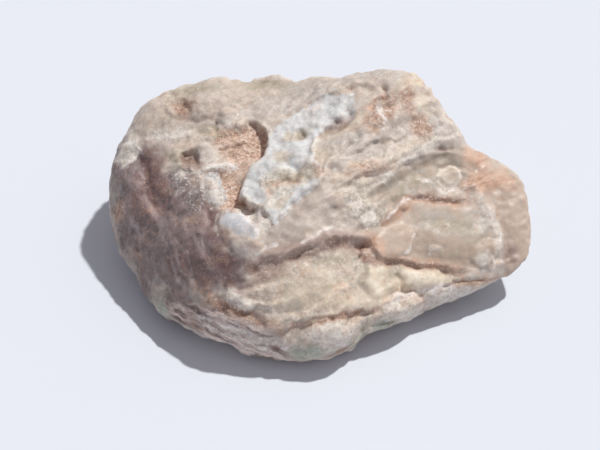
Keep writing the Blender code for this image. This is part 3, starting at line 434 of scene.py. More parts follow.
OVALS = {
    "rust": (
        (-7.2, 7.1, 2.3, 1.6, -10), (-9.3, 3.0, 1.9, 1.3, -60), (-8.0, 1.0, 1.5, 0.9, -20),
        (-12.7, 10.1, 0.9, 0.7, 0), (6.0, 9.8, 1.7, 1.1, 60), (5.0, 8.9, 0.9, 0.8, 20),
        (9.6, 8.2, 1.3, 0.9, -60), (4.2, 4.4, 1.6, 0.5, 10), (-7.4, 5.0, 1.1, 0.4, 5),
        (-0.4, 4.4, 0.9, 0.7, -40), (7.6, 0.4, 1.9, 0.5, 42), (10.6, 1.5, 2.9, 0.45, -3),
        (15.4, 3.2, 2.0, 1.0, 15), (14.8, 5.2, 1.4, 0.7, -30), (17.0, 3.4, 1.5, 0.7, -25),
        (5.6, -3.0, 1.4, 0.5, -60), (9.0, -4.5, 3.2, 0.4, -6), (-4.4, 3.1, 1.2, 0.7, -20),
        (-8.4, -9.0, 2.4, 0.7, -25), (-4.2, -12.5, 0.8, 0.5, 10), (3.0, -9.5, 2.2, 0.3, 10),
        (14.6, -6.3, 2.0, 0.3, 6), (-18.9, 0.4, 0.8, 0.5, 60), (-4.4, -10.5, 1.2, 0.5, -20),
        (8.2, 10.9, 0.7, 1.4, 0),
    ),
    "red brown": (
        (-13.2, -4.9, 1.6, 1.3, 0), (-9.6, -4.3, 1.6, 1.2, -30), (-9.8, -1.9, 1.7, 0.8, -70),
        (-14.8, 2.5, 1.6, 0.7, -60), (-16.0, 3.4, 3.4, 1.4, 80), (-15.2, 0.4, 1.2, 0.7, 60),
        (-10.0, -9.0, 1.2, 0.6, -20), (-8.5, -6.5, 0.8, 0.5, 0), (-7.3, -7.0, 0.7, 0.5, 0),
        (-6.3, -9.6, 1.6, 0.7, -40), (-6.4, -4.9, 0.8, 0.7, 0), (-11.2, -6.2, 0.7, 0.8, 10),
        (-17.0, 1.6, 1.8, 1.0, 70), (-10.4, 0.1, 1.7, 0.9, -75), (-5.2, -5.7, 1.4, 0.5, 8),
    ),
    "white": (
        (-10.0, 4.5, 1.5, 0.4, 12), (-10.2, 2.2, 1.4, 0.8, -65), (-8.1, -7.7, 0.9, 0.5, -15),
        (-7.0, -8.4, 0.9, 0.5, -10), (16.8, -1.6, 1.3, 0.3, -70), (15.0, -1.2, 0.8, 0.5, 20),
        (10.0, 3.4, 0.6, 0.2, -30), (-8.2, 8.4, 1.4, 0.35, -5), (10.8, -3.3, 0.3, 0.14, 20),
        (0.4, -1.5, 1.4, 0.22, 27), (6.8, -8.1, 1.2, 0.7, 60), (7.8, -9.4, 1.6, 0.7, 10),
        (1.0, -11.4, 2.2, 1.2, 10), (2.9, 0.7, 1.0, 0.6, 20), (4.6, -0.3, 0.9, 0.7, 20),
        (13.4, -7.4, 1.6, 0.5, 20), (5.8, 9.8, 1.0, 0.3, -75), (-5.1, -0.9, 1.0, 0.6, -60),
        (9.4, 5.9, 2.0, 0.5, 28), (-13.8, 7.6, 2.2, 0.5, 0), (-18.0, 6.0, 1.6, 0.8, 60),
        (-6.6, 0.2, 1.3, 0.6, -15), (6.2, 3.6, 0.9, 0.4, 25), (-13.2, 3.7, 0.6, 0.4, -40),
        (11.1, -7.4, 2.0, 0.8, 12), (15.3, -4.2, 0.7, 0.5, 0),
    ),
    "yellow": (
        (9.2, -5.7, 2.8, 1.2, 12), (5.0, -6.6, 2.0, 1.9, 0), (8.0, 5.9, 1.8, 0.6, 24),
        (0.4, -6.4, 2.0, 1.3, 0), (2.0, -8.2, 1.8, 0.9, 10), (8.8, 12.4, 1.2, 0.8, 0),
        (-13.4, 11.3, 1.2, 0.5, 25), (-1.6, -7.7, 2.4, 1.3, 10), (2.6, -8.8, 1.4, 0.5, 10),
        (10.8, -7.1, 1.8, 0.5, 10), (2.6, 8.4, 1.6, 0.5, 30), (9.6, 10.2, 0.8, 1.2, 20),
    ),
    "grey": (
        (-11.2, 11.8, 2.2, 0.7, 10), (-1.2, 12.2, 2.2, 0.6, 15), (12.0, -0.8, 3.4, 1.2, -15),
        (3.7, -5.3, 0.8, 1.9, 5), (3.4, -9.6, 1.2, 0.9, 0), (0.3, -4.3, 2.6, 0.5, 15),
        # the oval at (17.7, -3.6), on the fin's lower part, is painted shade
        (14.8, -0.4, 1.9, 1.2, -50), (17.7, -3.6, 0.9, 1.6, 10), (2.9, -10.2, 0.9, 0.5, -30),
        (-2.2, -10.6, 1.6, 0.8, -20), (2.0, 6.9, 1.8, 0.4, 15), (-15.0, -6.7, 1.8, 0.8, 80),
        (-8.8, -2.8, 0.8, 0.5, -15), (-11.6, -7.9, 1.7, 0.6, -75), (-19.7, 0.4, 0.9, 3.6, 4),
        (-18.4, -4.2, 1.8, 0.5, -60),
    ),
    "teal": (
        (-1.2, -13.0, 1.7, 0.7, 8), (-12.6, -11.0, 1.3, 0.4, -30), (6.0, -10.4, 1.3, 0.5, 15),
        (4.0, -11.9, 1.2, 0.6, 20), (-15.2, -9.0, 1.2, 0.6, -40),
    ),
    "olive": (
        (-13.2, 5.3, 1.1, 0.8, -20), (12.2, -1.0, 2.4, 0.7, -8), (7.5, 1.8, 1.1, 0.5, 35),
        (-10.4, 7.9, 1.2, 0.5, -10), (9.2, 3.4, 0.7, 0.6, 0), (1.5, -4.3, 1.6, 0.4, 12),
        (6.9, -5.6, 1.1, 0.4, -10), (-11.2, 11.7, 1.5, 0.5, 10), (-2.9, 3.4, 1.0, 0.5, -20),
        (-1.7, 7.6, 0.8, 0.35, 20), (-1.2, 3.9, 0.9, 0.7, 60), (-5.6, 12.2, 2.4, 0.45, 2),
    ),
    # darker brown in cracks, pits and undercuts: partly the stone's own brown, partly painted
    # shade
    "dark": (
        (1.9, 8.6, 1.2, 0.4, 32), (-12.2, 5.0, 1.1, 0.7, -20), (7.9, -4.5, 1.2, 0.25, -8),
        (1.7, -2.6, 1.3, 0.35, 18), (-12.0, -10.4, 1.0, 0.4, -30), (-6.4, -5.0, 0.7, 0.6, 0),
        (6.6, 10.7, 0.8, 0.25, 25), (11.3, 1.45, 1.8, 0.22, -3),
    ),
    "crust cream": (
        (-2.6, 7.3, 1.1, 0.45, 15), (-3.6, 5.4, 0.9, 0.35, 15), (0.3, 5.5, 0.8, 0.6, -30),
        (-3.6, 1.0, 0.8, 0.4, 40), (-1.6, 3.4, 1.3, 0.4, 10),
    ),
    "crust rust": (
        (-3.1, 3.0, 1.8, 0.45, 5), (-0.4, 4.2, 0.6, 0.5, -40), (-4.9, 2.2, 0.3, 0.6, 20),
    ),
    "rust floor": (
        (-7.4, 6.9, 2.5, 1.6, 0), (-8.6, 2.4, 2.0, 1.0, 75), (-7.8, 0.9, 1.0, 0.5, -10),
    ),
    "pillows": ((5.8, -6.4, 2.1, 1.4, -15), (10.2, -6.4, 2.2, 1.2, 10)),
    "chip": ((7.1, -2.1, 1.8, 1.4, 30),),
    "nodule": ((12.2, 3.7, 1.15, 1.0, 20),),
}
JOINED = {
    "white crust": (0.0, ((-10.0, 2.5, 1.6, 0.85, 100), (-9.7, 4.5, 1.2, 0.35, 10))),
    # painted shade: more shaded walls and crevices, such as the fin's lower part and under the
    # nose
    "painted wall shade": (0.25, (
        (13.4, 5.3, 1.7, 0.4, -50), (12.0, 6.2, 1.6, 0.4, -5), (18.0, -3.9, 0.9, 1.7, 5),
        (-9.0, -1.7, 1.1, 0.6, -40), (4.9, -4.2, 0.9, 0.7, -30), (10.6, 1.9, 1.4, 0.45, -5),
        (-7.3, 3.6, 1.1, 0.6, 80), (-6.1, -2.9, 1.0, 0.5, -15), (-5.2, -5.6, 1.6, 0.85, 10),
    )),
}

# ---- ovals of colour on the back sheet ----

BACK_PATCHES = {
    "rust": (
        (-5.0, -2.4, 3.4, 0.9, 8), (0.0, -7.8, 1.8, 1.1, -15), (9.8, -5.4, 1.4, 1.0, 20),
        (-13.0, -7.4, 1.6, 0.8, 60), (6.0, -9.6, 2.6, 0.6, 5), (12.6, -1.4, 1.6, 0.8, -40),
    ),
    "white": (
        (5.6, -1.4, 3.2, 1.3, 12), (-6.6, -7.6, 2.6, 1.4, 5), (-0.6, -3.0, 2.2, 0.6, 10),
        (11.4, -9.6, 1.6, 1.0, 30), (-10.4, -0.8, 2.0, 0.9, 15), (1.6, -10.6, 2.4, 0.7, 0),
    ),
    "grey": (
        (-2.6, -10.6, 3.2, 1.6, 0), (3.0, -5.0, 2.6, 1.0, 10), (-15.0, -4.4, 1.8, 1.6, 60),
        (8.6, -11.2, 3.0, 1.0, 8), (-9.4, -4.4, 2.6, 0.9, 20), (14.2, -4.4, 1.2, 2.0, 10),
    ),
    "yellow": ((-1.6, -5.6, 3.0, 1.2, 5), (8.2, -3.0, 2.0, 1.2, 0), (-8.6, -10.4, 2.6, 1.0, 5)),
    "red brown": ((12.8, -6.8, 1.6, 1.0, 80), (-12.2, -10.2, 1.8, 0.8, 10)),
    "teal": ((2.6, -12.8, 2.8, 0.7, 5), (-6.0, -12.6, 2.2, 0.6, 0)),
}

SIGHT_EDGE = 6.0  # millimetres taken from a field where its sheet can't be seen
LEVEL = 3.0  # millimetres inside or outside a patch where its field stops changing
FAR = 1e9  # millimetres, further than anything


# ---- small tools ----


def unit(heading, rise):
    """The direction with this heading, counted from +X towards +Y, and this rise."""
    heading, rise = math.radians(heading), math.radians(rise)
    return np.array(
        (math.cos(heading) * math.cos(rise), math.sin(heading) * math.cos(rise), math.sin(rise))
    )


def turning(axis, degrees):
    """The matrix that turns a row of points about this axis."""
    x, y, z = axis / np.linalg.norm(axis)
    cross = np.array(((0.0, z, -y), (-z, 0.0, x), (y, -x, 0.0)))
    angle = math.radians(degrees)
    return np.eye(3) + math.sin(angle) * cross + (1.0 - math.cos(angle)) * cross @ cross


TURN = turning(np.array((1.0, 2.0, 3.0)), 57)


def step(value, low, high):
    """Goes smoothly from 0 where value is low to 1 where it is high."""
    share = np.clip((value - low) / (high - low), 0.0, 1.0)
    return share * share * (3.0 - 2.0 * share)


def noise(points, seed):
    """Smooth noise between about -1 and 1, with a lump or a hollow every unit or so."""
    rng = np.random.default_rng(seed)
    order = rng.permutation(256)
    slopes = rng.normal(size=(256, points.shape[1]))
    slopes /= np.linalg.norm(slopes, axis=1)[:, None]
    cell = np.floor(points).astype(int)
    inside = points - cell
    ease = inside**3 * (inside * (inside * 6.0 - 15.0) + 10.0)
    total = np.zeros(len(points))
    for corner in itertools.product((0, 1), repeat=points.shape[1]):
        corner = np.array(corner)
        pick = np.zeros(len(points), int)
        for axis in range(points.shape[1]):
            pick = order[(pick + cell[:, axis] + corner[axis]) & 255]
        share = np.prod(np.where(corner == 1, ease, 1.0 - ease), axis=1)
        total += share * np.einsum("ij,ij->i", slopes[pick], inside - corner)
    return total * 1.6


def layered_noise(points, size, octaves, seed):
    """Noise whose largest lumps are size across, with finer and fainter ones on them."""
    total = np.zeros(len(points))
    for octave in range(octaves):
        points = points @ TURN
        total += noise(points * (2.0**octave / size), seed + octave) * 0.5**octave
    return total


def ridges(points, size, octaves, seed):
    """Noise with sharp crests: 1 along a crest, and 0 well away from it."""
    total = np.zeros(len(points))
    for octave in range(octaves):
        points = points @ TURN
        crest = 1.0 - np.abs(noise(points * (2.0**octave / size), seed + octave))
        total += crest * crest * 0.5**octave
    return total / 1.5


def pieces(path, closed=False):
    """The two ends of each straight piece of a broken line."""
    points = [np.array(point) for point in path]
    return zip(points, points[1:] + points[:1] if closed else points[1:])


def turned(flat, degrees):
    """How far each point lies along a direction turned by this much, and across it."""
    turn = math.radians(degrees)
    return (
        flat[:, 0] * math.cos(turn) + flat[:, 1] * math.sin(turn),
        flat[:, 1] * math.cos(turn) - flat[:, 0] * math.sin(turn),
    )


def along(flat, path):
    """Distance to a broken line, positive on its left, and how far along it, in mm."""
    best = np.full(len(flat), FAR)
    side = np.zeros(len(flat))
    place = np.zeros(len(flat))
    walked = 0.0
    for start, end in pieces(path):
        length = math.hypot(*(end - start))
        way = (end - start) / length
        rel = flat - start
        here = np.clip(rel @ way, 0.0, length)
        gap = np.linalg.norm(rel - here[:, None] * way, axis=1)
        nearer = gap < best
        best = np.where(nearer, gap, best)
        side = np.where(nearer, np.sign(way[0] * rel[:, 1] - way[1] * rel[:, 0]), side)
        place = np.where(nearer, walked + here, place)
        walked += length
    return best * side, place, walked


def inside_of(flat, outline):
    """Distance from a closed outline, positive inside it."""
    gap = np.full(len(flat), FAR)
    crossings = np.zeros(len(flat), int)
    for start, end in pieces(outline, closed=True):
        edge = end - start
        rel = flat - start
        here = np.clip(rel @ edge / (edge @ edge), 0.0, 1.0)
        gap = np.minimum(gap, np.linalg.norm(rel - here[:, None] * edge, axis=1))
        between = (flat[:, 1] < start[1]) != (flat[:, 1] < end[1])
        rise = edge[1] if edge[1] else 1e-9
        crossings += between & (rel[:, 0] < rel[:, 1] * edge[0] / rise)
    return np.where(crossings % 2 == 1, gap, -gap)


class Sheet:
    """A drawing held up between a viewer and the stone, seen in perspective."""

    def __init__(self, side, rise, ragged):
        self.ragged = ragged
        self.right = np.array((side, 0.0, 0.0))
        self.up = np.array((0.0, side * math.sin(rise), math.cos(rise)))
        self.toward = np.array((0.0, -side * math.cos(rise), math.sin(rise)))

    def drawn(self, points):
        """(right, up) of the points on the sheet, and how far each lies in front of it."""
        rel = points - HEART
        near = rel @ self.toward
        flat = np.stack((rel @ self.right, rel @ self.up), axis=1)
        return flat * (EYE_DISTANCE / (EYE_DISTANCE - near))[:, None], near

    def strayed(self, points):
        """As drawn, but each point strays a little, so that the edges of marks are ragged."""
        flat, near = self.drawn(points)
        ways = [layered_noise(points, 1.6, 3, seed) for seed in (80, 90)]
        return flat + self.ragged * np.stack(ways, axis=1), near

    def placed(self, flat, near):
        """The points that are drawn at flat and lie that far in front of the sheet."""
        flat = flat * ((EYE_DISTANCE - near) / EYE_DISTANCE)[:, None]
        return (
            HEART
            + flat[:, :1] * self.right
            + flat[:, 1:] * self.up
            + near[:, None] * self.toward
        )


FRONT = Sheet(1.0, FRONT_RISE, ragged=0.25)
BACK = Sheet(-1.0, BACK_RISE, ragged=0.35)
ALONG_GRAIN = unit(GRAIN_HEADING, 0)
LAYERS = unit(GRAIN_HEADING + 90, 90 - LAYER_LEAN)
ACROSS_GRAIN = np.cross(LAYERS, ALONG_GRAIN)
FLANK = unit(225, 0)


# ---- the block and its outline ----


def rough_block(directions):
    """Points on the block that the fracture faces leave, with slightly rounded edges."""
    pull = np.zeros(len(directions))
    for _, heading, rise, distance in FACES:
        normal = unit(heading, rise)
        facing = np.clip(directions @ normal, 0.0, None)
        reach = distance + (HEART - BALL_CENTRE) @ normal
        pull += (facing / reach) ** EDGE_SHARPNESS
    return BALL_CENTRE + directions * (pull ** (-1.0 / EDGE_SHARPNESS))[:, None]


def reach_of_outline(angles):
    """Distance from the heart to OUTLINE along each angle."""
    ways = np.stack((np.cos(angles), np.sin(angles)), axis=1)
    reach = np.full(len(angles), FAR)
    for start, end in pieces(OUTLINE, closed=True):
        edge = end - start
        cross = ways[:, 0] * edge[1] - ways[:, 1] * edge[0]
        cross = np.where(np.abs(cross) < 1e-9, 1e-9, cross)
        distance = (start[0] * edge[1] - start[1] * edge[0]) / cross
        share = (start[0] * ways[:, 1] - start[1] * ways[:, 0]) / cross
        hit = (share >= 0.0) & (share <= 1.0) & (distance > 0.0)
        reach = np.where(hit & (distance < reach), distance, reach)
    return reach


def blurred(ring, width):
    """A closed row of numbers, smoothed over that many of its neighbours each way."""
    total = np.zeros(len(ring))
    for shift in range(-width, width + 1):
        total += np.roll(ring, shift)
    return total / (2 * width + 1)


def fit_outline(points):
    """Draws the stone in or out, most near its rim, so that its outline is OUTLINE."""
    count = 240
    flat, near = FRONT.drawn(points)
    angle = np.arctan2(flat[:, 1], flat[:, 0])
    reach = np.hypot(flat[:, 0], flat[:, 1])
    slot = ((angle / (2 * math.pi) + 0.5) * count).astype(int) % count
    furthest = np.zeros(count)
    np.maximum.at(furthest, slot, reach)
    furthest = blurred(furthest, 2)
    angles = (np.arange(count) + 0.5) / count * 2 * math.pi - math.pi
    ratio = reach_of_outline(angles) / furthest
    broad = blurred(blurred(ratio, 9), 9)
    share = np.clip(reach / np.interp(angle, angles, furthest, period=2 * math.pi), 0.0, 1.0)
    scale = 1.0 + (np.interp(angle, angles, broad, period=2 * math.pi) - 1.0) * share**2
    rest = blurred(ratio, 1) - broad
    scale += np.interp(angle, angles, rest, period=2 * math.pi) * share**8
    return FRONT.placed(flat * scale[:, None], near)


# ---- carving ----


def normals_of(points, triangles):
    """The outward direction at each point."""
    corners = points[triangles]
    face = np.cross(corners[:, 1] - corners[:, 0], corners[:, 2] - corners[:, 0])
    total = np.zeros_like(points)
    for corner in range(3):
        for axis in range(3):
            total[:, axis] += np.bincount(triangles[:, corner], face[:, axis], len(points))
    return total / np.linalg.norm(total, axis=1)[:, None]


def ledge_height(flat, path, wall, lip, drop, reach_above, reach_below, start, end):
    """Height of the surface beside a ledge, which dies away on both sides of it."""
    gap, place, walked = along(flat, path)
    above = lip * np.exp(-np.clip(gap, 0.0, None) / reach_above)
    below = -drop * np.exp(np.clip(gap, None, 0.0) / reach_below)
    height = below + (above - below) * step(gap, -wall, 0.1)
    return height * step(place, 0.0, start) * step(walked - place, 0.0, end)


def crack_height(flat, path, depth, width, taper):
    """Depth of a groove that narrows to nothing at both ends."""
    gap, place, walked = along(flat, path)
    ends = step(place, 0.0, taper) * step(walked - place, 0.0, taper)
    return -depth * np.exp(-((gap / width) ** 2)) * ends


def hollow_height(flat, outline, depth, wall):
    """Depth of a hollow with a floor as wide as its outline."""
    return -depth * step(inside_of(flat, outline), -0.5 * wall, 0.5 * wall)


def lump_height(flat, middle, length, width, turn, height, roundness):
    """Height of an oval lump."""
    lengthwise, across = turned(flat - np.array(middle), turn)
    inside = 1.0 - (lengthwise / length) ** 2 - (across / width) ** 2
    return height * np.clip(inside, 0.0, None) ** roundness


def sheet_marks(flat, ledges, cracks, hollows, lumps):
    """Height of all the marks that are drawn on one sheet."""
    height = np.zeros(len(flat))
    for rows, height_of in (
        (ledges, ledge_height), (cracks, crack_height), (hollows, hollow_height),
        (lumps, lump_height),
    ):
        for _, *row in rows:
            height += height_of(flat, *row)
    return height


def crust_marks(points, flat):
    """Height of the crust and of the knobs and little hollows on it."""
    crust = step(inside_of(flat, CRUST), -0.5 * CRUST_EDGE, 0.5 * CRUST_EDGE)
    knobs = layered_noise(points, 1.3, 2, 300)
    return crust * (CRUST_HEIGHT + CRUST_KNOB_HEIGHT * knobs)


def splinter_marks(flat):
    """Height of the long thin splinters along the left foot."""
    lengthwise, across = turned(flat, SPLINTER_TURN)
    stretched = np.stack((lengthwise / 5.0, across, np.zeros(len(flat))), axis=1)
    inside = step(inside_of(flat, SPLINTERS), 0.0, 1.2)
    return SPLINTER_HEIGHT * inside * (ridges(stretched, 0.9, 2, 500) - 0.7)


def in_grain(points, stretch):
    """The points in the wood's own directions, squeezed along the grain."""
    lengthwise = points @ ALONG_GRAIN / stretch
    return np.stack((lengthwise, points @ ACROSS_GRAIN, points @ LAYERS), axis=1)


def wood_marks(points, normals):
    """Height of the broken layers and the fibres, which run through the whole stone."""
    warp = layered_noise(points, 7.0, 3, 40)
    level = points @ LAYERS / LAYER + 1.1 * warp
    share = level - np.floor(level)
    terrace = share - step(share, 0.75, 1.0)
    broken = step(layered_noise(points, 5.0, 2, 50), -0.25, 0.5)
    fibres = ridges(in_grain(points + warp[:, None] * 0.5, 4.0), 1.3, 2, 60) - 0.7
    flank = step(normals @ FLANK, 0.35, 0.75)
    height = LAYER_HEIGHT * (terrace - 0.3) * broken + FIBRE_HEIGHT * fibres
    return height * (1.0 - 0.75 * flank)


def lumpy_marks(points):
    """Height of the lumps and hollows that weather has left everywhere."""
    knobs = ridges(points, 3.2, 2, 130) - 0.7
    grains = layered_noise(points, 1.5, 2, 120)
    pits = step(layered_noise(points, 1.1, 1, 140), 0.35, 0.75)
    pits *= step(layered_noise(points, 4.0, 1, 150), 0.1, 0.5)
    return KNOB_HEIGHT * knobs + GRAIN_HEIGHT * grains - PIT_DEPTH * pits


def carve(points, triangles):
    """Moves the points out or in by the marks that are drawn at them."""
    normals = normals_of(points, triangles)
    flat, _ = FRONT.strayed(points)
    seen = step(normals @ FRONT.toward, 0.0, 0.35)
    smooth = step(inside_of(flat, PLATE), -0.2, 0.6) + 0.7 * step(inside_of(flat, FIN), 0.0, 0.8)
    marks = sheet_marks(flat, LEDGES, CRACKS, HOLLOWS, LUMPS)
    marks += crust_marks(points, flat) + splinter_marks(flat)
    height = marks * seen
    flat, _ = BACK.strayed(points)
    hidden = step(normals @ BACK.toward, 0.1, 0.5) * (1.0 - seen)
    height += sheet_marks(flat, BACK_LEDGES, BACK_CRACKS, BACK_HOLLOWS, BACK_LUMPS) * hidden
    height += (wood_marks(points, normals) + lumpy_marks(points)) * (1.0 - 0.85 * smooth * seen)
    way = normals + FRONT.toward * seen[:, None] + BACK.toward * hidden[:, None]
    way /= np.linalg.norm(way, axis=1)[:, None]
    return points + way * height[:, None]


# ---- making the solid ----


def vectors_of(mesh):
    """The places of a mesh's vertices."""
    places = np.empty(len(mesh.vertices) * 3, np.float32)
    mesh.vertices.foreach_get("co", places)
    return places.reshape(-1, 3).astype(float)


def triangles_of(mesh):
    """The corners of each of a mesh's triangles, as vertex numbers."""
    mesh.calc_loop_triangles()
    corners = np.empty(len(mesh.loop_triangles) * 3, np.int32)
    mesh.loop_triangles.foreach_get("vertices", corners)
    return corners.reshape(-1, 3)


def set_places(mesh, points):
    """Moves a mesh's vertices to these places."""
    mesh.vertices.foreach_set("co", points.astype(np.float32).ravel())
    mesh.update()


def added(name, data):
    """A new object in the scene."""
    thing = bpy.data.objects.new(name, data)
    bpy.context.scene.collection.objects.link(thing)
    return thing


def block_mesh():
    """The rough block inside its outline, as an even net of small faces."""
    ball = bmesh.new()
    bmesh.ops.create_icosphere(ball, subdivisions=BALL_SUBDIVISIONS, radius=1.0)
    mesh = bpy.data.meshes.new(NAME)
    ball.to_mesh(mesh)
    ball.free()
    directions = vectors_of(mesh)
    points = rough_block(directions)
    points += directions * layered_noise(points, 9.0, 3, 11)[:, None] * 0.45
    set_places(mesh, fit_outline(points))
    block = added("block", mesh)
    net = block.modifiers.new("Even net", "REMESH")
    net.mode = "VOXEL"
    net.voxel_size = NET_SIZE
    seen = block.evaluated_get(bpy.context.evaluated_depsgraph_get())
    even = bpy.data.meshes.new_from_object(seen)
    bpy.data.objects.remove(block, do_unlink=True)
    return even


# ---- the finer grain that only the looks need ----


def fine_marks(points, smooth):
    """Height of the grain that is too fine for the source's solid."""
    grains = layered_noise(points, 0.9, 2, 610)
    crumbs = ridges(points, 1.1, 1, 630) - 0.6
    height = FINE_GRAIN_HEIGHT * grains + FINE_CRUMB_HEIGHT * crumbs
    return height * (1.0 - 0.9 * smooth)


def depth_in_hollows(points, edges, normals, rounds):
    """How far each point lies below the mean of its neighbourhood, in mm."""
    ends = np.concatenate((edges[:, 0], edges[:, 1]))
    others = np.concatenate((edges[:, 1], edges[:, 0]))
    count = np.bincount(ends, minlength=len(points))[:, None]
    mean = points
    for _ in range(rounds):
        sums = [np.bincount(ends, mean[others, axis], len(points)) for axis in range(3)]
        mean = 0.5 * mean + 0.5 * np.stack(sums, axis=1) / count
    return np.einsum("ij,ij->i", mean - points, normals)


def inside_ovals(flat, ovals):
    """Distance inside the nearest of these ovals, in mm, and negative outside them all."""
    best = np.full(len(flat), -FAR)
    for right, up, length, width, turn in ovals:
        lengthwise, across = turned(flat - np.array((right, up)), turn)
        inside = 1.0 - np.hypot(lengthwise / length, across / width)
        best = np.maximum(best, inside * min(length, width))
    return best


def inside_strokes(flat, strokes):
    """Distance inside the nearest of these strokes, in mm, and negative outside them all."""
    best = np.full(len(flat), -FAR)
    for path, width in strokes:
        best = np.maximum(best, width - np.abs(along(flat, path)[0]))
    return best


def add_field(mesh, name, values):
    """Keeps a number, or three, for each point of the mesh, where the material finds it."""
    kind = "FLOAT_VECTOR" if values.ndim == 2 else "FLOAT"
    field = mesh.attributes.new(name, kind, "POINT")
    place = "vector" if values.ndim == 2 else "value"
    field.data.foreach_set(place, values.astype(np.float32).ravel())


# ---- the frame of the picture, in the drawing's millimetres ----

FRAME_WIDTH = 56.6  # across the whole picture, at the heart of the stone
HEART_RIGHT = 1.89  # how far the heart lies right of the picture's middle
HEART_UP = 0.94  # and above it
TOWARD_LAMP = (0.397, 0.278, 0.875)


# ---- the material ----


def linear(red, green, blue):
    """The colour that a screen shows with these three numbers from 0 to 255."""
    shares = (red / 255.0, green / 255.0, blue / 255.0)
    made = [s / 12.92 if s < 0.04045 else ((s + 0.055) / 1.055) ** 2.4 for s in shares]
    return (*made, 1.0)


class Paint:
    """Short ways to add nodes to one material and to join them up."""

    def __init__(self, name):
        self.material = bpy.data.materials.new(name)
        self.material.use_nodes = True
        self.tree = self.material.node_tree
        self.shader = self.tree.nodes["Principled BSDF"]

    def join(self, value, socket):
        """Feeds the socket with a value or with another socket."""
        if isinstance(value, bpy.types.NodeSocket):
            self.tree.links.new(value, socket)
        else:
            socket.default_value = value

    def node(self, kind, inputs, **settings):
        """A node of this kind, with its settings and its inputs, which are values or sockets."""
        made = self.tree.nodes.new(kind)
        for name, value in settings.items():
            setattr(made, name, value)
        for name, value in inputs.items():
            self.join(value, made.inputs[name])
        return made

    def finish(self, inputs):
        """Feeds the material's shader."""
        for name, value in inputs.items():
            self.join(value, self.shader.inputs[name])

    def place(self):
        """Where a point is on the stone, in millimetres."""
        where = self.tree.nodes.new("ShaderNodeTexCoord").outputs["Object"]
        inputs = {0: where, "Scale": 1000.0}
        return self.node("ShaderNodeVectorMath", inputs, operation="SCALE").outputs[0]

    def field(self, name, output="Fac"):
        """The number, or the Vector, that each point of the mesh carries."""
        return self.node("ShaderNodeAttribute", {}, attribute_name=name).outputs[output]

    def stretched(self, vector, turn, scale):
        """The vector turned about its third axis and then scaled on each axis."""
        turned = {"Vector": vector, "Angle": -math.radians(turn)}
        vector = self.node("ShaderNodeVectorRotate", turned, rotation_type="Z_AXIS").outputs[0]
        inputs = {0: vector, 1: scale}
        return self.node("ShaderNodeVectorMath", inputs, operation="MULTIPLY").outputs[0]

    def noise(self, vector, size, detail, roughness, distortion):
        """Noise from 0 to 1, about 0.5 on average, with lumps about this size across."""
        inputs = {
            "Vector": vector, "Scale": 1.0 / size, "Detail": detail, "Roughness": roughness,
            "Distortion": distortion,
        }
        return self.node("ShaderNodeTexNoise", inputs).outputs["Fac"]

    def math(self, operation, first, second=0.0, third=0.0):
        """The numbers put together by this operation."""
        inputs = {0: first, 1: second, 2: third}
        return self.node("ShaderNodeMath", inputs, operation=operation).outputs[0]

    def fade(self, value, low, high, to_low=0.0, to_high=1.0):
        """Goes smoothly from to_low, where value is low, to to_high, where it is high."""
        inputs = {
            "Value": value, "From Min": low, "From Max": high, "To Min": to_low, "To Max": to_high,
        }
        settings = {"interpolation_type": "SMOOTHSTEP"}
        return self.node("ShaderNodeMapRange", inputs, **settings).outputs[0]

    def mix(self, share, first, second, way="MIX"):
        """The first colour where share is 0 and the second where it is 1."""
        settings = {"data_type": "RGBA", "blend_type": way}
        return self.node("ShaderNodeMix", {0: share, 6: first, 7: second}, **settings).outputs[2]


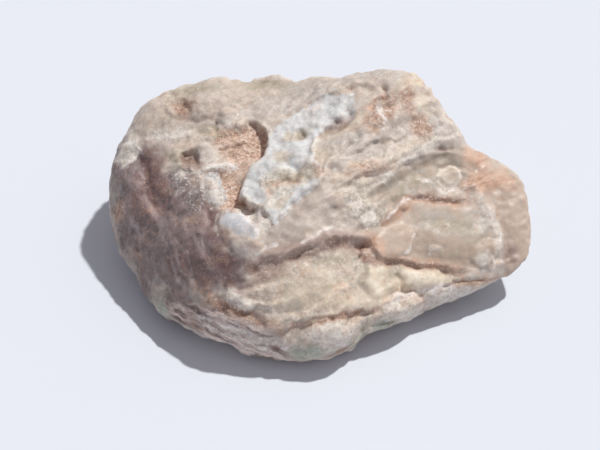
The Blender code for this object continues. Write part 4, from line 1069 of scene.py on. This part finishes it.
# Each coat of colour is painted over the ones before it: the field that says where, its
# dark tone, its light tone, the texture that mixes the two, how wide its edge is, how
# ragged its edge is, both in mm, and how strong it is.
COATS = (
    ("shoulder", (174, 160, 147), (217, 203, 189), "clouds", 0.8, 1.0, 0.9),
    ("plateau", (162, 149, 139), (210, 198, 186), "clouds", 0.5, 0.5, 0.9),
    ("front side", (193, 175, 159), (236, 225, 208), "dusty grains", 0.5, 1.2, 0.9),
    ("yellow", (208, 190, 165), (236, 228, 208), "clouds", 0.6, 1.0, 0.75),
    ("pillows", (208, 190, 160), (242, 235, 218), "clouds", 0.4, 0.6, 0.75),
    ("pale band", (206, 190, 173), (250, 240, 224), "fibres", 0.3, 0.6, 0.85),
    ("curls", (171, 161, 147), (228, 220, 206), "grains", 0.4, 0.8, 0.8),
    ("channel", (152, 142, 129), (188, 177, 162), "clouds", 0.4, 0.6, 0.9),
    # painted shade: the flank's own brown-violet, painted darker as the shade on the side turned
    # away from the lamp
    ("flank brown and shade", (90, 75, 75), (140, 124, 123), "streaks", 0.8, 1.6, 0.95),
    ("grey knob", (90, 78, 77), (152, 143, 141), "grains", 0.4, 0.8, 0.9),
    ("plate", (158, 141, 125), (202, 185, 168), "clouds", 0.25, 0.3, 0.95),
    ("chip", (182, 161, 144), (208, 190, 173), "clouds", 0.15, 0.2, 0.85),
    ("fin", (170, 151, 135), (207, 189, 174), "clouds", 0.4, 0.5, 0.95),
    ("grey", (151, 143, 136), (206, 200, 190), "grains", 0.5, 1.0, 0.6),
    ("rust", (178, 132, 106), (226, 190, 165), "grains", 0.45, 1.0, 0.75),
    ("red brown", (94, 65, 61), (138, 106, 100), "grains", 0.6, 1.4, 0.68),
    ("crust floor", (184, 178, 166), (224, 220, 210), "crumbs", 0.2, 0.8, 0.95),
    ("rust floor", (188, 146, 122), (232, 202, 180), "crumbs", 0.3, 0.8, 0.85),
    ("white crust", (192, 194, 194), (230, 232, 232), "clouds", 0.15, 1.0, 0.95),
    ("crust cream", (186, 172, 152), (228, 216, 198), "grains", 0.2, 0.7, 0.8),
    ("crust rust", (190, 150, 126), (230, 198, 176), "grains", 0.25, 0.8, 0.75),
    # partly the facet's own bluish white, partly a painted highlight
    ("glossy", (160, 163, 169), (222, 223, 225), "clouds", 0.12, 0.3, 0.95),
    # real pale and dark streaks, with painted shade and highlight standing in for the fibres'
    # relief
    ("splinters", (90, 70, 69), (232, 213, 205), "splinter fibres", 0.5, 0.6, 0.85),
    ("white", (204, 195, 184), (243, 239, 231), "dusty grains", 0.25, 0.9, 0.82),
    ("teal", (138, 150, 136), (198, 204, 190), "grains", 0.4, 1.0, 0.8),
    ("olive", (144, 134, 112), (181, 173, 154), "grains", 0.3, 0.5, 0.75),
    ("nodule", (196, 184, 168), (214, 203, 187), "clouds", 0.12, 0.1, 0.85),
    ("ring", (222, 210, 196), (244, 236, 226), "clouds", 0.08, 0.06, 0.8),
    # painted shade on walls under ledges and in crevices
    ("painted wall shade", (140, 115, 105), (182, 157, 145), "streaks", 0.4, 0.6, 0.8),
    # rust-brown in cracks, partly painted shade, and painted shade under the plate's edge
    ("rust and shade strokes", (168, 126, 102), (212, 176, 152), "grains", 0.25, 0.75, 0.6),
    ("pale strokes", (196, 184, 176), (246, 240, 235), "crumbs", 0.12, 0.3, 0.6),
    # partly the stone's own brown, partly painted shade in cracks, pits and undercuts
    ("dark", (122, 94, 82), (160, 134, 120), "grains", 0.25, 0.4, 0.75),
)


# How rough each kind of surface is, where later ones lie over earlier ones.
ROUGH = (
    ("front side", 0.6), ("yellow", 0.3), ("curls", 0.8), ("pale band", 0.5),
    ("flank brown and shade", 0.15), ("plateau", 0.15), ("channel", 0.1), ("grey knob", 0.7),
    ("white crust", 0.4), ("rust", 1.0), ("white", 0.6), ("rust floor", 1.0), ("fin", 0.0),
    ("glossy", 0.1), ("plate", 0.0), ("nodule", 0.1), ("pillows", 0.3),
)
ELSEWHERE_ROUGH = 0.35
DULL, SLEEK = 0.62, 0.36  # the shader's roughness, which varies between these

# How high each kind of fine relief stands, in millimetres.
CRUMB_RELIEF = 0.07
DUST_RELIEF = 0.13
FIBRE_RELIEF = 0.055

# Washes over all the coats: what each follows, the two values between which it fades, how
# strong it is at each of them, its tone, how it is laid on and what holds it back.
WASHES = (
    ("wisps", 0.5, 0.72, 0.0, 0.6, (184, 169, 167), "MIX", "flank"),
    ("stains", 0.52, 0.66, 0.0, 0.3, (214, 176, 142), "MIX", "nothing"),
    ("dust", 0.54, 0.66, 0.0, 0.5, (250, 243, 234), "MIX", "smooth"),
    # painted shade: darkens and warms the colour in hollows, where shade falls
    ("hollow", 0.04, 0.3, 0.0, 0.26, (204, 156, 126), "MULTIPLY", "nothing"),
    # painted highlight: pales the colour on crests and edges
    ("hollow", -0.03, -0.16, 0.0, 0.28, (248, 240, 230), "MIX", "smooth"),
    ("vein", 0.0, 0.02, 0.18, 0.0, (200, 152, 122), "MIX", "nothing"),
    ("specks", 0.32, 0.5, 0.66, 0.0, (150, 122, 104), "MIX", "very smooth"),
    ("specks", 0.54, 0.66, 0.0, 0.68, (252, 247, 240), "MIX", "smooth"),
)


# Noises: the space each lies in, the size of its lumps, its detail, its roughness, its
# distortion, and the two values between which it fades from 0 to 1, if it is faded.
TEXTURES = {
    "clouds": ("place", 2.4, 10.0, 0.68, 0.0, 0.22, 0.78),
    "grains": ("drawn out", 0.7, 8.0, 0.75, 0.0, 0.24, 0.76),
    "crumbs": ("place", 0.5, 6.0, 0.75, 0.0, 0.25, 0.6),
    "dusty grains": ("place", 0.9, 8.0, 0.75, 0.0, 0.24, 0.76),
    "fibres": ("far drawn out", 0.5, 7.0, 0.7, 0.0, 0.24, 0.76),
    "streaks": ("streaked", 2.4, 7.0, 0.62, 0.4, 0.22, 0.78),
    "splinter fibres": ("splintered", 0.4, 5.0, 0.65, 0.0, 0.36, 0.64),
    "mottle": ("place", 5.0, 6.0, 0.6, 0.0, 0.35, 0.65),
    "gloss": ("place", 0.7, 4.0, 0.55, 0.0, 0.4, 0.66),
    "ragged": ("place", 1.0, 8.0, 0.72, 0.0),
    "wisps": ("wispy", 1.0, 4.0, 0.6, 0.0),
    "stains": ("place", 2.2, 10.0, 0.74, 0.0),
    "dust": ("place", 1.3, 10.0, 0.76, 0.0),
    "vein": ("place", 1.7, 6.0, 0.65, 0.0),
    "specks": ("place", 0.25, 4.0, 0.7, 0.0),
}


def textures(paint):
    """What the two tones of a coat are mixed by and what the washes follow."""
    grain, sheet = paint.field("grain", "Vector"), paint.field("sheet", "Vector")
    spaces = {
        "place": paint.place(),
        "drawn out": paint.stretched(grain, 0, (0.4, 1.0, 1.0)),
        "far drawn out": paint.stretched(grain, 0, (0.25, 1.0, 1.0)),
        "streaked": paint.stretched(sheet, -68, (0.5, 1.0, 0.6)),
        "splintered": paint.stretched(sheet, SPLINTER_TURN, (0.1, 1.0, 0.4)),
        "wispy": paint.stretched(sheet, -66, (0.16, 1.0, 0.4)),
    }
    made = {"hollow": paint.field("hollow")}
    for name, (space, size, detail, roughness, distortion, *fade) in TEXTURES.items():
        made[name] = paint.noise(spaces[space], size, detail, roughness, distortion)
        if fade:
            made[name] = paint.fade(made[name], *fade)
    made["ragged"] = paint.math("SUBTRACT", made["ragged"], 0.5)
    made["vein"] = paint.math("ABSOLUTE", paint.math("SUBTRACT", made["vein"], 0.5))
    return made


def opal():
    """Opalized wood: cream, tan and grey, mottled, with painted warm shade in its hollows and
    painted highlight on its crests, white on its crust.
    """
    paint = Paint("opalized wood")
    texture = textures(paint)
    warm = paint.mix(texture["dusty grains"], linear(181, 165, 152), linear(232, 221, 207))
    cool = paint.mix(texture["grains"], linear(168, 158, 150), linear(223, 215, 206))
    colour = paint.mix(texture["mottle"], warm, cool)
    for name, dark, light, mixed_by, edge, raggedness, strength in COATS:
        tone = paint.mix(texture[mixed_by], linear(*dark), linear(*light))
        reach = paint.math("MULTIPLY_ADD", texture["ragged"], 2.0 * raggedness, paint.field(name))
        colour = paint.mix(paint.fade(reach, -edge, edge, 0.0, strength), colour, tone)
    grit = paint.field("grit")
    held_back_by = {
        "nothing": 1.0,
        "flank": paint.fade(paint.field("flank brown and shade"), -0.5, 1.5),
        "smooth": paint.math("MULTIPLY_ADD", grit, 0.9, 0.1),
        "very smooth": grit,
    }
    for name, low, high, to_low, to_high, tone, way, holder in WASHES:
        share = paint.fade(texture[name], low, high, to_low, to_high)
        share = paint.math("MULTIPLY", share, held_back_by[holder])
        colour = paint.mix(share, colour, linear(*tone), way)
    gloss = paint.math("MULTIPLY_ADD", texture["gloss"], SLEEK - DULL, DULL)
    relief = paint.math("MULTIPLY_ADD", texture["specks"], 0.5, texture["crumbs"])
    relief = paint.math("MULTIPLY", paint.math("MULTIPLY", relief, CRUMB_RELIEF), grit)
    relief = paint.math("MULTIPLY_ADD", texture["dust"], DUST_RELIEF, relief)
    relief = paint.math("MULTIPLY_ADD", texture["fibres"], FIBRE_RELIEF, relief)
    rugged = paint.math("MULTIPLY_ADD", grit, 0.8, 0.3)
    bump = paint.node("ShaderNodeBump", {"Height": relief, "Strength": rugged, "Distance": 0.001})
    paint.finish({
        "Base Color": colour,
        "Roughness": paint.math("MULTIPLY_ADD", grit, 0.1, gloss),
        "Normal": bump.outputs[0],
        "Subsurface Weight": 0.35,
        "Subsurface Radius": (1.0, 0.72, 0.58),
        "Subsurface Scale": 0.0007,
    })
    return paint.material


# ---- the stone ----


def grit_of(fields):
    """How rough and sugary the surface is: 1 in the pits and on the crust, 0 on the plate."""
    grit = np.full(len(fields["rust"]), ELSEWHERE_ROUGH)
    for name, share in ROUGH:
        grit += (share - grit) * step(fields[name], -0.3, 0.4)
    return grit


def fields_of(normals, uneven, flat, back_flat):
    """Where the coats of colour lie: for each, how far inside it every point is, in mm."""
    inside = {name: inside_of(flat, outline) for name, outline in REGIONS.items()}
    inside |= {name: inside_strokes(flat, strokes) for name, strokes in STROKES.items()}
    inside |= {name: inside_ovals(flat, ovals) for name, ovals in OVALS.items()}
    for name, (inset, ovals) in JOINED.items():
        inside[name] = np.maximum(inside[name], inside_ovals(flat, ovals) - inset)
    inside = {name: np.clip(values, -LEVEL, LEVEL) for name, values in inside.items()}
    away = SIGHT_EDGE * (1.0 - step(normals @ FRONT.toward + uneven, -0.15, 0.2))
    fields = {name: values - away for name, values in inside.items()}
    # the flank's brown with its painted shade also covers the left end and the underside
    fields["flank brown and shade"] = inside["flank brown and shade"]  # goes right through the stone
    away = SIGHT_EDGE - away * step(normals @ BACK.toward + uneven, 0.0, 0.3)
    for name, ovals in BACK_PATCHES.items():
        fields[name] = np.maximum(fields[name], inside_ovals(back_flat, ovals) - away)
    return fields


def make_stone():
    """The stone's surface, carved, with its fields and its material."""
    mesh = block_mesh()
    triangles = triangles_of(mesh)
    points = vectors_of(mesh)
    flat, near = FRONT.strayed(points)
    back_flat, _ = BACK.strayed(points)
    broad_normals = normals_of(points, triangles)
    points = carve(points, triangles)
    normals = normals_of(points, triangles)
    polished = np.maximum(inside_of(flat, PLATE), inside_ovals(flat, OVALS["pillows"]))
    smooth = step(polished, -0.2, 0.6) * step(normals @ FRONT.toward, 0.0, 0.3)
    points += normals * fine_marks(points, smooth)[:, None]
    normals = normals_of(points, triangles)
    edges = np.empty(len(mesh.edges) * 2, np.int32)
    mesh.edges.foreach_get("vertices", edges)
    edges = edges.reshape(-1, 2)
    uneven = 0.15 * layered_noise(points, 3.0, 3, 50)
    fields = fields_of(broad_normals, uneven, flat, back_flat)
    for name, values in fields.items():
        add_field(mesh, name, values)
    add_field(mesh, "grit", grit_of(fields))
    add_field(mesh, "hollow", depth_in_hollows(points, edges, normals, rounds=30))
    warp = layered_noise(points, 7.0, 3, 40)
    add_field(mesh, "grain", in_grain(points + warp[:, None] * 0.5, stretch=1.0))
    add_field(mesh, "sheet", np.column_stack((flat, near)))
    points = points - DRAWN_MIDDLE
    points[:, 2] = np.maximum(points[:, 2], 0.0)
    set_places(mesh, points * (LENGTH / DRAWN_LENGTH))
    mesh.shade_smooth()
    mesh.materials.append(opal())
    return added(NAME, mesh)


# ---- the stage ----


def make_floor():
    """A wide, plain, pale floor under the stone."""
    bpy.ops.mesh.primitive_plane_add(size=4.0)
    floor = bpy.context.object
    floor.name = "floor"
    paint = Paint("floor")
    paint.finish({"Base Color": linear(215, 220, 228), "Roughness": 0.85})
    floor.data.materials.append(paint.material)
    return floor


def aimed(name, data, toward):
    """A new lamp or camera that looks back along this direction."""
    thing = added(name, data)
    thing.rotation_mode = "QUATERNION"
    thing.rotation_quaternion = Vector(toward).to_track_quat("Z", "Y")
    return thing


def make_light():
    """One lamp from the right, slightly behind the stone, and an even pale sky."""
    lamp = bpy.data.lights.new("key light", "SUN")
    lamp.energy = 3.0
    lamp.angle = math.radians(2.5)
    lamp.color = (1.0, 0.985, 0.96)
    aimed("key light", lamp, TOWARD_LAMP)
    sky = bpy.data.worlds.new("sky")
    sky.use_nodes = True
    background = sky.node_tree.nodes["Background"]
    background.inputs["Color"].default_value = (0.96, 0.92, 1.0, 1.0)
    background.inputs["Strength"].default_value = 0.38
    bpy.context.scene.world = sky


def make_camera():
    """A camera in front of the stone, looking down at it as a viewer does."""
    scale = LENGTH / DRAWN_LENGTH
    lens = bpy.data.cameras.new("camera")
    lens.sensor_width = 36.0
    lens.lens = lens.sensor_width * EYE_DISTANCE / FRAME_WIDTH
    lens.shift_x = -HEART_RIGHT / FRAME_WIDTH
    lens.shift_y = -HEART_UP / FRAME_WIDTH
    lens.clip_start = 0.01
    camera = aimed("camera", lens, FRONT.toward)
    camera.location = (HEART - DRAWN_MIDDLE + FRONT.toward * EYE_DISTANCE) * scale
    bpy.context.scene.camera = camera


# ---- putting it together ----

stone = make_stone()
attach(stone, "root")
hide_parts("opalized_wood")
make_floor()
make_light()
make_camera()
bpy.context.scene.view_settings.view_transform = "Standard"
